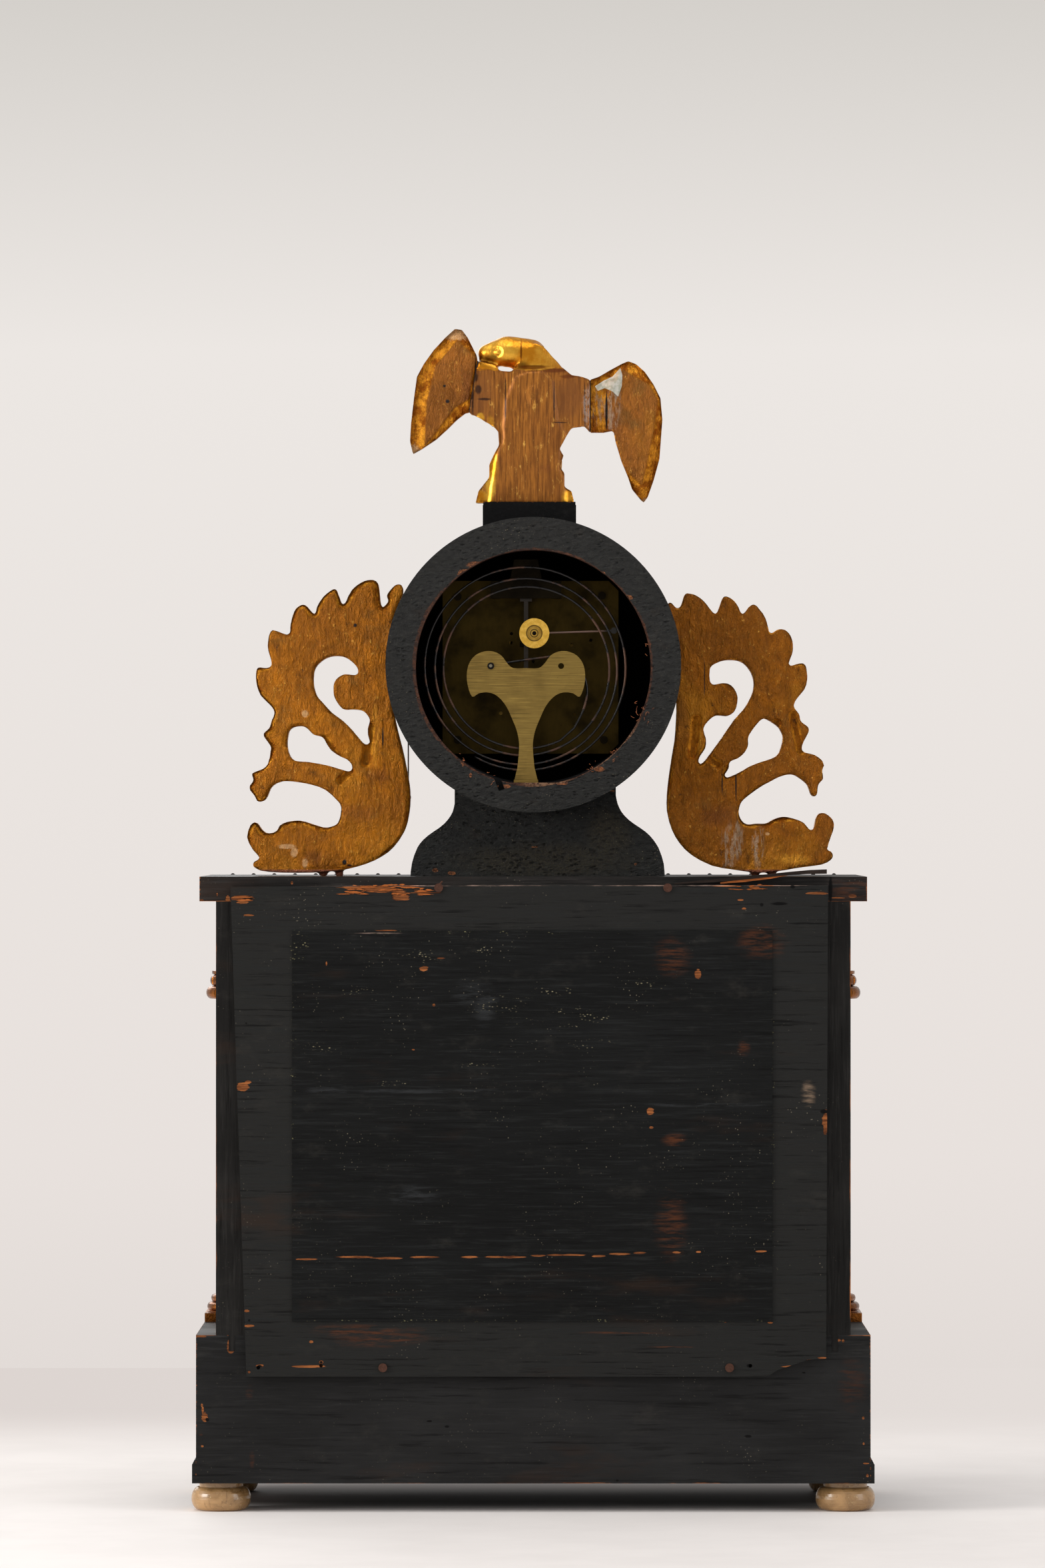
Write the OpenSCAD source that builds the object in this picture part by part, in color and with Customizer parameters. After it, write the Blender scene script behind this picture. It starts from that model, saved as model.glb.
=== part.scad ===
// A portico clock: a box case on a plinth, a drum with the movement on top,
// two carved side scrolls and an eagle. The dial faces -Y and the back faces +Y.
// The origin is on the table, under the middle of the clock.

/* [Case] */
// Height of a bun foot
foot_h = 14.6; // [12:0.1:18]
// Greatest radius of a bun foot
foot_r = 15; // [13:0.5:17]
// Width of the base
base_w = 339; // [330:1:350]
// Height of the base with its top board
base_h = 74.5; // [65:0.5:85]
// Thickness of the top board of the base
base_top_t = 11; // [9:0.5:14]
// Height of the moulding round the foot of the base
moulding_h = 12.4; // [9:0.1:16]
// How far the moulding stands out
moulding_out = 2; // [1:0.1:3]
// Thickness of the boards of the case and the base
board_t = 8; // [6:0.5:9]
// Thickness of the case's side boards
side_t = 16; // [12:0.5:17]
// How far the case stands in from each side of the base
case_in = 10; // [8:0.5:14]
// Height of the case between base and cornice
case_h = 218; // [200:1:240]
// Depth of the box behind the columns
box_d = 95; // [80:1:98]
// How far the cornice board stands out at each side of the case
cornice_out = 8.3; // [5:0.1:12]
// Thickness of the cornice board
cornice_t = 12.4; // [10:0.1:15]
// Depth of the cornice board
cornice_d = 143; // [140:1:150]
// How far the front of the base stands back from the cornice
base_back_step = 2; // [1:0.5:4]
// Height of the side boards' tongues
tongue_h = 8; // [5:0.5:9]
// How far the middle of a tongue lies in from the outside of its board
tongue_in = 8; // [5:0.5:10]
// Thickness of the side boards' tongues
tongue_t = 3; // [2:0.5:5]

/* [Back panel] */
// Thickness of the back panel
panel_t = 6; // [4:0.5:8]
// Depth of the sunk border round the panel's field
border_depth = 0.8; // [0.3:0.1:1.5]
// Width of that border at the sides
border_w = 28; // [20:1:40]
// Height of the border's upper rail
border_high = 22.7; // [18:0.1:28]
// Height of the border's lower rail
border_low = 27.7; // [22:0.1:32]
// How far the panel hangs down over the base
panel_hang = 20.5; // [15:0.5:22]
// Distance from the middle to the upright edge of the panel
panel_edge = 148; // [146:0.5:149]
// How far the other edge leans
panel_lean = 8; // [0:0.5:8]
// Radius of a nail's shank
nail_r = 0.9; // [0.6:0.1:1.2]
// Radius of a nail's head
nail_head_r = 2.2; // [1.5:0.1:3]
// How far a nail's head stands out
nail_out = 1; // [0.6:0.1:1.5]
// Length of a nail in the board behind the panel
nail_in = 6; // [4:0.5:7.5]

/* [Front of the case] */
// Side of a column's square plinth
plinth_w = 38; // [34:0.5:39]
// Thickness of a column's plinth
plinth_t = 4.5; // [3.5:0.1:6]
// Height of the turned part of a column's base
column_base_h = 11; // [9:0.5:14]
// Radius of a column at its foot
column_r = 12.5; // [11:0.1:13.5]
// Radius of a column at its neck
column_neck_r = 10.8; // [9.5:0.1:11]
// Height of a capital
capital_h = 14.5; // [12:0.5:18]
// Greatest radius of a capital
capital_r = 19; // [17:0.5:19]
// Height of the frieze above the columns
frieze_h = 37.3; // [30:0.1:44]
// Thickness of the frieze's boards
frieze_t = 12; // [9:0.5:15]
// Thickness of the board behind the mirror
mirror_board_t = 6; // [4:0.5:8]
// Thickness of the mirror glass
mirror_t = 3; // [2:0.5:3.5]
// Width of the gilt moulding round the mirror
mirror_frame_w = 11; // [8:0.5:14]
// Distance between the studs of the cornice
bead_pitch = 10.8; // [9:0.1:14]
// Radius of a stud of the cornice
bead_r = 1.2; // [0.8:0.1:1.6]
// How far a stud stands out
bead_out = 2; // [1.4:0.1:3]

/* [Drum and neck] */
// Height of the drum's middle above the cornice
drum_rise = 109.3; // [106:0.1:115]
// Outer radius of the drum's two rings
drum_r = 72.5; // [70:0.5:74]
// Outer radius of the drum's hoop
hoop_r = 72; // [69:0.5:73.5]
// Inner radius of the drum's hoop
hoop_in_r = 62; // [61.5:0.1:63]
// Depth of the whole drum, bezel left out
drum_d = 90; // [88:1:96]
// Thickness of the rough back ring
back_ring_t = 12; // [10:0.5:14]
// Outer radius of that ring
back_ring_r = 74.8; // [74:0.1:75.5]
// How far that ring's middle lies below the drum's middle
back_ring_drop = 2.2; // [1.5:0.1:2.8]
// Thickness of the front ring
front_ring_t = 9; // [8:0.5:10]
// Radius of the opening in the back ring
opening_r = 59.5; // [58:0.5:60]
// How far the opening's middle lies below the drum's middle
opening_drop = 3.6; // [2:0.1:4.5]
// Height of the flat at the foot of the opening, above its lowest point
opening_flat = 1.2; // [0.5:0.1:3]
// Radius of the opening in the front ring
front_opening_r = 58; // [57:0.5:59]
// Half the width of the neck at its waist
neck_waist = 39.9; // [39.4:0.1:44]
// Depth of the neck from front to back
neck_d = 66; // [60:1:66]
// Thickness of the neck's boards
neck_t = 8; // [6:0.5:8.5]
// Width of the slot that the pendulum passes through
slot_w = 40; // [36:1:46]
// Depth of that slot
slot_d = 13; // [11:0.5:14]

/* [Bezel and dial] */
// Outer radius of the brass bezel
bezel_r = 64; // [62:0.5:66]
// Inner radius of the bezel
bezel_in_r = 56.5; // [55:0.5:57]
// Thickness of the bezel
bezel_t = 6; // [5:0.5:8]
// Gap between the shut bezel and the drum
bezel_gap = 0.3; // [0.2:0.05:0.6]
// Thickness of the glass
glass_t = 1.6; // [1.2:0.1:2.4]
// Rise of the domed glass
glass_rise = 6; // [4:0.5:9]
// Radius of the hinge pin
hinge_pin_r = 1; // [0.8:0.1:1.3]
// Outer radius of the hinge knuckles
knuckle_r = 2.2; // [2:0.1:2.5]
// Length of the whole hinge
hinge_l = 20; // [16:1:26]
// Radius of the brass dial plate
dial_plate_r = 61.2; // [60.5:0.1:61.4]
// Thickness of the brass dial plate
dial_plate_t = 1.5; // [1:0.1:2]
// Radius of the enamel dial
dial_r = 57.4; // [56:0.1:57.8]
// Thickness of the enamel dial
dial_t = 2; // [1.5:0.1:2.4]
// Radius of the winding holes
wind_hole_r = 3.4; // [3:0.1:4]
// Length of the hour hand
hour_l = 31; // [26:1:36]
// Length of the minute hand
minute_l = 46; // [40:1:50]
// Thickness of the hands
hand_t = 0.8; // [0.6:0.1:1]

/* [Movement] */
// Width of the movement's plates
plate_w = 89.6; // [86:0.2:92]
// Height of the movement's plates
plate_h = 88; // [86:0.5:91]
// Sideways place of the plates' middle
plate_x = 1.4; // [0:0.1:2]
// How far the plates' middle lies below the hands
plate_drop = 3; // [2:0.1:4]
// Thickness of a plate
plate_t = 2; // [1.6:0.1:2.6]
// Clear distance between the plates
plate_gap = 36; // [36:0.5:40]
// Place of the movement's middle, behind the drum's middle
movement_y = -4; // [-4.5:0.1:-3.5]
// Radius of a pillar
pillar_r = 3.5; // [3:0.1:4]
// Sideways place of the escapement, pendulum and gong
swing_x = 3.7; // [2:0.1:4.5]
// Radius of a pivot
pivot_r = 0.8; // [0.6:0.1:1]
// Running clearance of a pivot, all round
running = 0.05; // [0.02:0.01:0.08]
// Distance between the hands and a winding arbor, sideways
wind_x = 20; // [20:0.1:20.6]
// Module of the barrel and motion work teeth
tooth_m = 0.5; // [0.5:0.01:0.5]
// Radius of a barrel's drum
barrel_r = 17.8; // [16:0.1:18]
// Side of a winding square
square_w = 3; // [2.6:0.1:3.4]

/* [Pendulum, hammer and gong] */
// Height of the pendulum's suspension above the hands
suspension_h = 49; // [48:0.1:50]
// Length of the pendulum, down to the middle of its bob
pendulum_l = 138.5; // [132:0.5:140]
// Radius of the bob
bob_r = 13; // [10:0.5:14]
// Radius of the gong's wire
wire_r = 0.6; // [0.5:0.05:0.7]
// Radius of the gong's innermost turn
gong_in_r = 41.5; // [40:0.5:42]
// Radius of the gong's outermost turn
gong_out_r = 52; // [51:0.5:53]
// Turns of the gong
gong_turns = 3.75; // [3.25:0.25:4.25]
// Thickness of the gong stand
stand_t = 2; // [1.5:0.1:2.5]
// Radius of the stand's two holes
stand_hole_r = 1.5; // [1.2:0.1:1.8]
// Radius of the hammer's head
hammer_r = 7.6; // [6.5:0.1:8]
// Thickness of the hammer's head
hammer_t = 5; // [4:0.5:5]

/* [Carvings] */
// Thickness of a side scroll
scroll_t = 12; // [9:0.5:15]
// How far the left scroll reaches out from the drum
scroll_left_reach = 76.6; // [76:0.1:78]
// How far the right scroll's sheet starts inside the drum
scroll_right_tuck = 38.6; // [38:0.1:39.5]
// Height of the pegs that a side scroll stands on
scroll_gap = 1.7; // [1:0.1:3]
// Height of the eagle's black block at its middle
block_h = 8.7; // [6:0.1:12]
// Width of the eagle's block
block_w = 47; // [42:1:52]
// Depth of the eagle's block
block_d = 40; // [30:1:46]
// Thickness of the eagle's torso
eagle_t = 15; // [12:0.5:18]
// Thickness of a wing
wing_t = 10; // [8:0.5:12]
// Gap in the glued joints of the carvings
glue = 0.3; // [0.2:0.05:0.4]

/* [Repeat cord] */
// Radius of the repeat cord
cord_r = 0.4; // [0.3:0.05:0.5]
// Radius of the bead on the cord
knob_r = 1.4; // [1:0.1:2]

/* [Hidden] */
$fn = 64;
eps = 0.01;
case_w = base_w - 2 * case_in;
cornice_w = case_w + 2 * cornice_out;
border_y = panel_t - border_depth;
back_y = (cornice_d + bead_out - border_y - nail_out) / 2;
front_y = back_y - cornice_d;
base_front = front_y + base_back_step;
base_z = foot_h;
base_top = base_z + base_h;
case_top = base_top + case_h;
cornice_top = case_top + cornice_t;
drum_z = cornice_top + drum_rise;
box_front = back_y - box_d;
column_x = (base_w - plinth_w) / 2;
column_y = base_front + plinth_w / 2;
column_foot = base_top + plinth_t + column_base_h;
capital_z = case_top - frieze_h - capital_h;
drum_back = drum_d / 2;
hoop_back = drum_back - back_ring_t;
hoop_front = -drum_d / 2 + front_ring_t;
fit_gap = 0.2;
seam = 0.05;

// Colours of the materials
ebony = [0.11, 0.11, 0.12];
raw_wood = [0.5, 0.3, 0.16];
gilt = [0.72, 0.5, 0.2];
brass = [0.76, 0.62, 0.34];
dark_brass = [0.45, 0.38, 0.2];
steel = [0.35, 0.34, 0.34];
stone = [0.62, 0.55, 0.44];

// A point on a circle
function on_circle(r, a, c = [0, 0]) = [c[0] + r * cos(a), c[1] + r * sin(a)];

// Points of an arc from angle a to angle b, both ends included
function arc(c, r, a, b, n = 12) = [for (i = [0:n]) on_circle(r, a + (b - a) * i / n, c)];

// Points of a quarter or half of an ellipse
function oval(c, rx, rz, a, b, n = 12) =
  [for (i = [0:n]) let (t = a + (b - a) * i / n) [c[0] + rx * cos(t), c[1] + rz * sin(t)]];

// A board given by its lowest and highest corners
module board(lo, hi) {
  translate(lo) cube(hi - lo);
}

// A cylinder along Y from y0 to y1, at a place in the XZ plane
module rod_y(x, z, r, y0, y1) {
  translate([x, y0, z]) rotate([-90, 0, 0]) cylinder(r = r, h = y1 - y0);
}

// A flat shape drawn in XZ, as thick as from y0 to y1
module slab_y(y0, y1) {
  translate([0, y1, 0]) rotate([90, 0, 0]) linear_extrude(y1 - y0) children();
}

// A revolved profile of [radius, height] points, standing at a place
module turned(p, profile) {
  translate(p) rotate_extrude() polygon(profile);
}

// A bun foot
foot_x = base_w / 2 - 12;
foot_front_y = base_front + 16;
foot_back_y = back_y - 17;
foot_neck_r = 11;
foot_neck_h = 2.7;
foot_bun_h = foot_h - foot_neck_h;
foot_profile = concat(
  [[0, 0]],
  oval([foot_neck_r, foot_bun_h / 2], foot_r - foot_neck_r, foot_bun_h / 2, -90, 90),
  [[foot_neck_r, foot_h], [0, foot_h]]
);
module foot(x, y) {
  color(stone) turned([x, y, 0], foot_profile);
}
module foot_back_left() { foot(foot_x, foot_back_y); }
module foot_back_right() { foot(-foot_x, foot_back_y); }
module foot_front_left() { foot(foot_x, foot_front_y); }
module foot_front_right() { foot(-foot_x, foot_front_y); }

// Places of the nails in the back panel, and of the empty nail holes beside them
nail_top_z = cornice_top - 5.5;
nail_low_z = base_top - base_top_t - 5;
nail_spots = [[47.5, nail_top_z], [-67.5, nail_top_z], [75.5, nail_low_z], [-98.5, nail_low_z]];
old_hole_depth = 4;
old_holes = [[106.5, nail_low_z + 1], [138, nail_low_z], [-109, nail_low_z + 1]];
module nail_holes() {
  for (s = nail_spots) {
    rod_y(s[0], s[1], nail_r + running, back_y - nail_in - running, back_y + panel_t + 1);
  }
}

// Back, front and two side walls of the plinth, and its floor
wall_top = base_top - base_top_t;
module base_boards() {
  color(ebony) {
    difference() {
      board([-base_w / 2, back_y - board_t, base_z], [base_w / 2, back_y, wall_top]);
      nail_holes();
    }
    board([-base_w / 2, base_front, base_z], [base_w / 2, base_front + board_t, wall_top]);
    for (s = [-1, 1]) {
      translate([s * (base_w - board_t) / 2, 0, 0])
        board([-board_t / 2, base_front + board_t + seam, base_z],
          [board_t / 2, back_y - board_t - seam, wall_top]);
    }
  }
  inside = board_t + seam;
  color(raw_wood)
    board([-base_w / 2 + inside, base_front + inside, base_z],
      [base_w / 2 - inside, back_y - inside, base_z + board_t]);
}

// Top board of the plinth, with notches for the tongues of the case sides
tongue_x = case_w / 2 - tongue_in;
tongue_gap = 0.1;
module tongues(grow) {
  for (s = [-1, 1]) {
    translate([s * tongue_x, 0, 0])
      board([-tongue_t / 2 - grow, box_front - grow, base_top - tongue_h - grow],
        [tongue_t / 2 + grow, back_y + grow, base_top + eps]);
  }
}
module base_top_board() {
  color(ebony) difference() {
    board([-base_w / 2, base_front, wall_top], [base_w / 2, back_y, base_top]);
    tongues(tongue_gap);
  }
}

// Moulding round the front and the two ends of the plinth
moulding_step = 3;
moulding_side = [
  [0, 0], [moulding_out, 0], [moulding_out, moulding_h - moulding_step],
  [moulding_out / 2, moulding_h - moulding_out / 2], [0, moulding_h]
];
module base_moulding() {
  color(ebony) {
    for (s = [0, 1]) {
      mirror([s, 0, 0]) translate([base_w / 2, back_y, base_z])
        rotate([90, 0, 0]) linear_extrude(back_y - base_front) polygon(moulding_side);
    }
    translate([-base_w / 2, base_front, base_z]) rotate([90, 0, 90])
      linear_extrude(base_w) mirror([1, 0]) polygon(moulding_side);
  }
}

// Side boards of the case, with their tongues
module case_side() {
  color(ebony) {
    board([case_w / 2 - side_t, box_front, base_top], [case_w / 2, back_y, case_top]);
    board([tongue_x - tongue_t / 2, box_front, base_top - tongue_h],
      [tongue_x + tongue_t / 2, back_y, base_top + eps]);
  }
}
module case_side_left() { case_side(); }
module case_side_right() { mirror([1, 0, 0]) case_side(); }

// Front of the box: a board, the mirror and its gilt moulding
inner_w = case_w - 2 * side_t;
module mirror_board() {
  color(raw_wood)
    board([-inner_w / 2, box_front, base_top], [inner_w / 2, box_front + mirror_board_t, case_top]);
}
mirror_edge = mirror_frame_w - 3;
mirror_top = case_top - frieze_h;
module mirror_glass() {
  color([0.8, 0.83, 0.85])
    board([-inner_w / 2 + mirror_edge, box_front - mirror_t, base_top + mirror_edge],
      [inner_w / 2 - mirror_edge, box_front, mirror_top - mirror_edge]);
}
module mirror_frame() {
  w = inner_w / 2;
  rebate = mirror_edge - fit_gap;
  color(gilt) slab_y(box_front - mirror_t - 3, box_front - mirror_t - fit_gap) difference() {
    translate([-w, base_top]) square([2 * w, mirror_top - base_top]);
    translate([-w + mirror_frame_w, base_top + mirror_frame_w])
      square([2 * (w - mirror_frame_w), mirror_top - base_top - 2 * mirror_frame_w]);
  }
  color(gilt) slab_y(box_front - mirror_t - fit_gap, box_front) difference() {
    translate([-w, base_top]) square([2 * w, mirror_top - base_top]);
    translate([-w + rebate, base_top + rebate])
      square([2 * (w - rebate), mirror_top - base_top - 2 * rebate]);
  }
}

// Back panel: its left edge leans, and one lower corner has split off
panel_low = base_top - panel_hang;
panel_high = cornice_top - 4.3;
panel_lean_x = panel_edge - panel_lean / 2;
panel_outline = [
  [panel_lean_x + panel_lean, panel_high - 0.8], [panel_lean_x, panel_low], [30.5 - panel_edge, panel_low],
  [25.5 - panel_edge, panel_low + 3.3], [10 - panel_edge, panel_low + 8.5], [1 - panel_edge, panel_low + 9],
  [-panel_edge, panel_high], [0, panel_high + 0.5]
];
field_low = panel_low + border_low;
field_high = panel_high - border_high;
module back_panel() {
  color(ebony) difference() {
    union() {
      slab_y(back_y, back_y + border_y) polygon(panel_outline);
      board([border_w - panel_edge, back_y + border_y - eps, field_low],
        [panel_edge + 1 - border_w, back_y + panel_t, field_high]);
    }
    nail_holes();
    for (s = old_holes) {
      rod_y(s[0], s[1], nail_r, back_y + border_y - old_hole_depth, back_y + panel_t);
    }
  }
}
module panel_nails() {
  color(steel) for (s = nail_spots) {
    rod_y(s[0], s[1], nail_r, back_y - nail_in, back_y + border_y + eps);
    rod_y(s[0], s[1], nail_head_r, back_y + border_y, back_y + border_y + nail_out);
  }
}

// Cornice board, the studs on its front edge and the frieze under it
module cornice_board() {
  color(ebony) difference() {
    board([-cornice_w / 2, front_y, case_top], [cornice_w / 2, back_y, cornice_top]);
    nail_holes();
  }
}
bead_count = floor((cornice_w - 4) / bead_pitch);
bead_z = cornice_top - bead_r + 0.7;
module cornice_beads() {
  color(dark_brass) for (i = [0:bead_count - 1]) {
    x = (i - (bead_count - 1) / 2) * bead_pitch;
    translate([x, front_y, bead_z]) rotate([90, 0, 0]) rotate_extrude($fn = 24)
      polygon(concat([[0, 0], [bead_r, 0]], oval([0, bead_out - bead_r], bead_r, bead_r, 0, 90, 2)));
  }
}
frieze_w = case_w + 7;
module frieze() {
  z0 = case_top - frieze_h;
  y0 = front_y + 2;
  color(ebony) {
    board([-frieze_w / 2, y0, z0], [frieze_w / 2, y0 + frieze_t, case_top]);
    for (s = [-1, 1]) {
      translate([s * (frieze_w - frieze_t) / 2, 0, 0])
        board([-frieze_t / 2, y0 + frieze_t + seam, z0], [frieze_t / 2, box_front, case_top]);
    }
  }
}

// Columns: plinth and turned base, tapered shaft, and a leafy capital
module at_columns() {
  for (s = [-1, 1]) {
    translate([s * column_x, column_y, 0]) children();
  }
}
base_disc_r = plinth_w / 2 - 0.5;
module column_bases() {
  h = column_base_h;
  profile = concat(
    [[0, 0], [base_disc_r - 1, 0]],
    oval([base_disc_r - 2.2, h * 0.22], 2.2, h * 0.22, -60, 90, 6),
    oval([base_disc_r - 3.6, h * 0.62], 1.6, h * 0.18, -90, 90, 6),
    [[column_r + 0.6, h * 0.85], [column_r + 0.6, h], [0, h]]
  );
  color(gilt) at_columns() {
    translate([-plinth_w / 2, -plinth_w / 2, base_top]) cube([plinth_w, plinth_w, plinth_t]);
    turned([0, 0, base_top + plinth_t - eps], profile);
  }
}
module column(s) {
  h = capital_z - column_foot;
  color(stone) turned([s * column_x, column_y, column_foot],
    [[0, 0], [column_r, 0], [column_r - 0.1, h / 3], [column_neck_r, h], [0, h]]);
}
module column_left() { column(1); }
module column_right() { column(-1); }
leaves = 8;
module capitals() {
  h = capital_h;
  lower = h * 0.38;
  upper = h * 0.34;
  profile = concat(
    [[0, 0], [column_neck_r + 1, 0]],
    oval([capital_r - lower * 0.5, lower * 0.6], lower * 0.5, lower * 0.6, -70, 90, 8),
    oval([capital_r - 2 - upper * 0.5, lower * 1.2 + upper * 0.6], upper * 0.5, upper * 0.6, -90, 90, 8),
    [[capital_r - 3, h - 1.5], [capital_r - 3, h], [0, h]]
  );
  color(gilt) at_columns() difference() {
    turned([0, 0, capital_z], profile);
    for (i = [0:leaves - 1]) {
      rotate(i * 360 / leaves) translate([capital_r + 0.8, 0, capital_z - 1])
        cylinder(r = 1.8, h = lower * 1.2 + 1);
      rotate((i + 0.5) * 360 / leaves) translate([capital_r - 1.4, 0, capital_z + lower * 1.2])
        cylinder(r = 1.5, h = upper * 1.2);
    }
  }
}

// Outline of the drum's neck in the XZ plane: a worn ogee, wider on its right side.
// Each point is an addition to the waist's half width and a height above the cornice.
neck_left = [
  [22.4, 0], [22.3, 2.3], [21.7, 6.4], [20.6, 10.4], [18.9, 14.5], [17.6, 16.5], [15.9, 18.5],
  [13.5, 20.6], [10.7, 22.6], [7.7, 24.6], [5.2, 26.7], [3.4, 28.7], [2, 30.7], [1, 32.7],
  [0.4, 34.8], [0, 36.8], [0, 56]
];
neck_right = [
  [26.8, 0], [26.7, 2.3], [26.3, 6.4], [25.2, 10.4], [23.6, 14.5], [22.4, 16.5], [21, 18.5],
  [19.2, 20.6], [17, 22.6], [14.2, 24.6], [11, 26.7], [8.4, 28.7], [6.4, 30.7], [4.8, 32.7],
  [3.7, 34.8], [2.9, 36.8], [2.4, 38.8], [2, 40.9], [2, 56]
];
function neck_point(p, s) = [s * (neck_waist + p[0]), cornice_top + p[1]];
neck_outline = concat(
  [for (p = neck_left) neck_point(p, 1)],
  [for (i = [len(neck_right) - 1:-1:0]) neck_point(neck_right[i], -1)]
);
module drum_bite() {
  translate([0, drum_z]) circle(r = hoop_r + running, $fn = 128);
}
module neck_boards() {
  color(ebony) for (y = [-neck_d / 2, neck_d / 2 - neck_t]) {
    slab_y(y, y + neck_t) difference() {
      polygon(neck_outline);
      drum_bite();
    }
  }
}
module neck_sides() {
  half = neck_waist - neck_t + 2;
  color(ebony) slab_y(-neck_d / 2 + neck_t, neck_d / 2 - neck_t) difference() {
    polygon(neck_outline);
    drum_bite();
    translate([-half, cornice_top - 1]) square([2 * half, 60]);
  }
}

// Drum: a hoop between a rough back ring and a front ring
module drum_hoop() {
  color(ebony) difference() {
    rod_y(0, drum_z, hoop_r, hoop_front, hoop_back, $fn = 128);
    rod_y(0, drum_z, hoop_in_r, hoop_front - 1, hoop_back + 1, $fn = 128);
    board([-slot_w / 2, pendulum_y - slot_d / 2, drum_z - hoop_r - 1],
      [slot_w / 2, pendulum_y + slot_d / 2, drum_z - hoop_in_r + 8]);
    cord_hole();
  }
}
opening_z = drum_z - opening_drop;
flat_z = opening_z - opening_r + opening_flat;
module drum_back_ring() {
  color(raw_wood) difference() {
    rod_y(0, drum_z - back_ring_drop, back_ring_r, hoop_back, drum_back, $fn = 128);
    difference() {
      rod_y(0, opening_z, opening_r, hoop_back - 1, drum_back + 1, $fn = 128);
      board([-30, hoop_back - 2, flat_z - 20], [30, drum_back + 2, flat_z]);
    }
    translate([14.5, hoop_back - 1, flat_z - 3.2]) rotate([0, 20, 0]) cube([3.2, back_ring_t + 2, 9]);
  }
}
module drum_front_ring() {
  color(ebony) difference() {
    rod_y(0, drum_z, drum_r, -drum_d / 2, hoop_front, $fn = 128);
    rod_y(0, drum_z, front_opening_r, -drum_d / 2 - 1, hoop_front + 1, $fn = 128);
  }
}

// Bezel with its domed glass and the hinge at its side
bezel_back = -drum_d / 2 - bezel_gap;
bezel_front = bezel_back - bezel_t;
hinge_x = bezel_r + knuckle_r + 0.6;
hinge_y = -drum_d / 2 - knuckle_r - 0.3;
middle_l = hinge_l * 0.4;
knuckle_gap = 0.3;
pin_hole_r = hinge_pin_r + running;
rebate_r = bezel_in_r + 2.5;
module bezel() {
  depth = glass_t + 0.6;
  profile = [
    [rebate_r, 0], [bezel_r, 0], [bezel_r, bezel_t * 0.45], [bezel_r - 1.5, bezel_t * 0.6],
    [bezel_r - 3, bezel_t], [bezel_in_r + 1.2, bezel_t], [bezel_in_r, bezel_t * 0.75],
    [bezel_in_r, depth], [rebate_r, depth]
  ];
  color(brass) difference() {
    union() {
      translate([0, bezel_back, drum_z]) rotate([90, 0, 0]) rotate_extrude($fn = 128) polygon(profile);
      translate([hinge_x, hinge_y, drum_z - middle_l / 2]) cylinder(r = knuckle_r, h = middle_l);
      board([bezel_r - 0.6, hinge_y - 1, drum_z - middle_l / 2],
        [hinge_x, hinge_y + 1, drum_z + middle_l / 2]);
      board([-bezel_r - 2.4, bezel_back - 2, drum_z - 5], [-bezel_r + 0.6, bezel_back, drum_z + 5]);
    }
    translate([hinge_x, hinge_y, drum_z - hinge_l]) cylinder(r = pin_hole_r, h = 2 * hinge_l);
  }
}
glass_seat_r = rebate_r - fit_gap;
dome_r = (bezel_in_r * bezel_in_r + glass_rise * glass_rise) / (2 * glass_rise);
dome_a = asin(bezel_in_r / dome_r);
module bezel_glass() {
  base = glass_t;
  outer = [for (i = [0:10]) let (a = dome_a * (10 - i) / 10)
    [dome_r * sin(a) * 0.995, base + dome_r * (cos(a) - cos(dome_a))]];
  inner = [for (i = [0:10]) let (a = dome_a * i / 10)
    [dome_r * sin(a) * 0.97, base - glass_t + dome_r * (cos(a) - cos(dome_a))]];
  color([0.8, 0.85, 0.88, 0.3]) translate([0, bezel_back - fit_gap, drum_z]) rotate([90, 0, 0])
    rotate_extrude($fn = 128)
      polygon(concat([[glass_seat_r, 0], [glass_seat_r, base]], outer, inner));
}
module bezel_hinge() {
  side_l = (hinge_l - middle_l) / 2 - knuckle_gap;
  color(brass) difference() {
    for (z = [drum_z - hinge_l / 2, drum_z + hinge_l / 2 - side_l]) {
      translate([hinge_x, hinge_y, z]) cylinder(r = knuckle_r, h = side_l);
      board([hinge_x, hinge_y + knuckle_r - 1.4, z], [hinge_x + 4, -drum_d / 2, z + side_l]);
    }
    translate([hinge_x, hinge_y, drum_z - hinge_l]) cylinder(r = pin_hole_r, h = 2 * hinge_l);
  }
  color(steel) translate([hinge_x, hinge_y, drum_z - hinge_l / 2 - 0.6]) {
    cylinder(r = hinge_pin_r, h = hinge_l + 1.2);
    translate([0, 0, hinge_l + 0.6]) cylinder(r = hinge_pin_r + 0.7, h = 1);
  }
}

// Brass dial plate with its feet, and the enamel dial in front of it
dial_plate_back = hoop_front + dial_plate_t;
dial_front = hoop_front - dial_t;
centre_hole_r = 3.3;
foot_spots = [[32, 36], [-32, 36], [34, -36], [-34, -36]];
module wind_holes(y0, y1) {
  for (s = [-1, 1]) {
    rod_y(s * wind_x, drum_z - wind_drop, wind_hole_r, y0, y1);
  }
  rod_y(0, drum_z, centre_hole_r, y0, y1);
}
module dial_plate() {
  color(brass) {
    difference() {
      rod_y(0, drum_z, dial_plate_r, hoop_front, dial_plate_back, $fn = 128);
      wind_holes(hoop_front - 1, dial_plate_back + 1);
    }
    for (p = foot_spots) {
      rod_y(p[0], drum_z + p[1], 1.8, dial_plate_back - eps, front_plate_y);
    }
  }
}
module dial() {
  color("ivory") difference() {
    rod_y(0, drum_z, dial_r, dial_front, hoop_front, $fn = 128);
    wind_holes(dial_front - 1, hoop_front + 1);
  }
}

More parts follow.
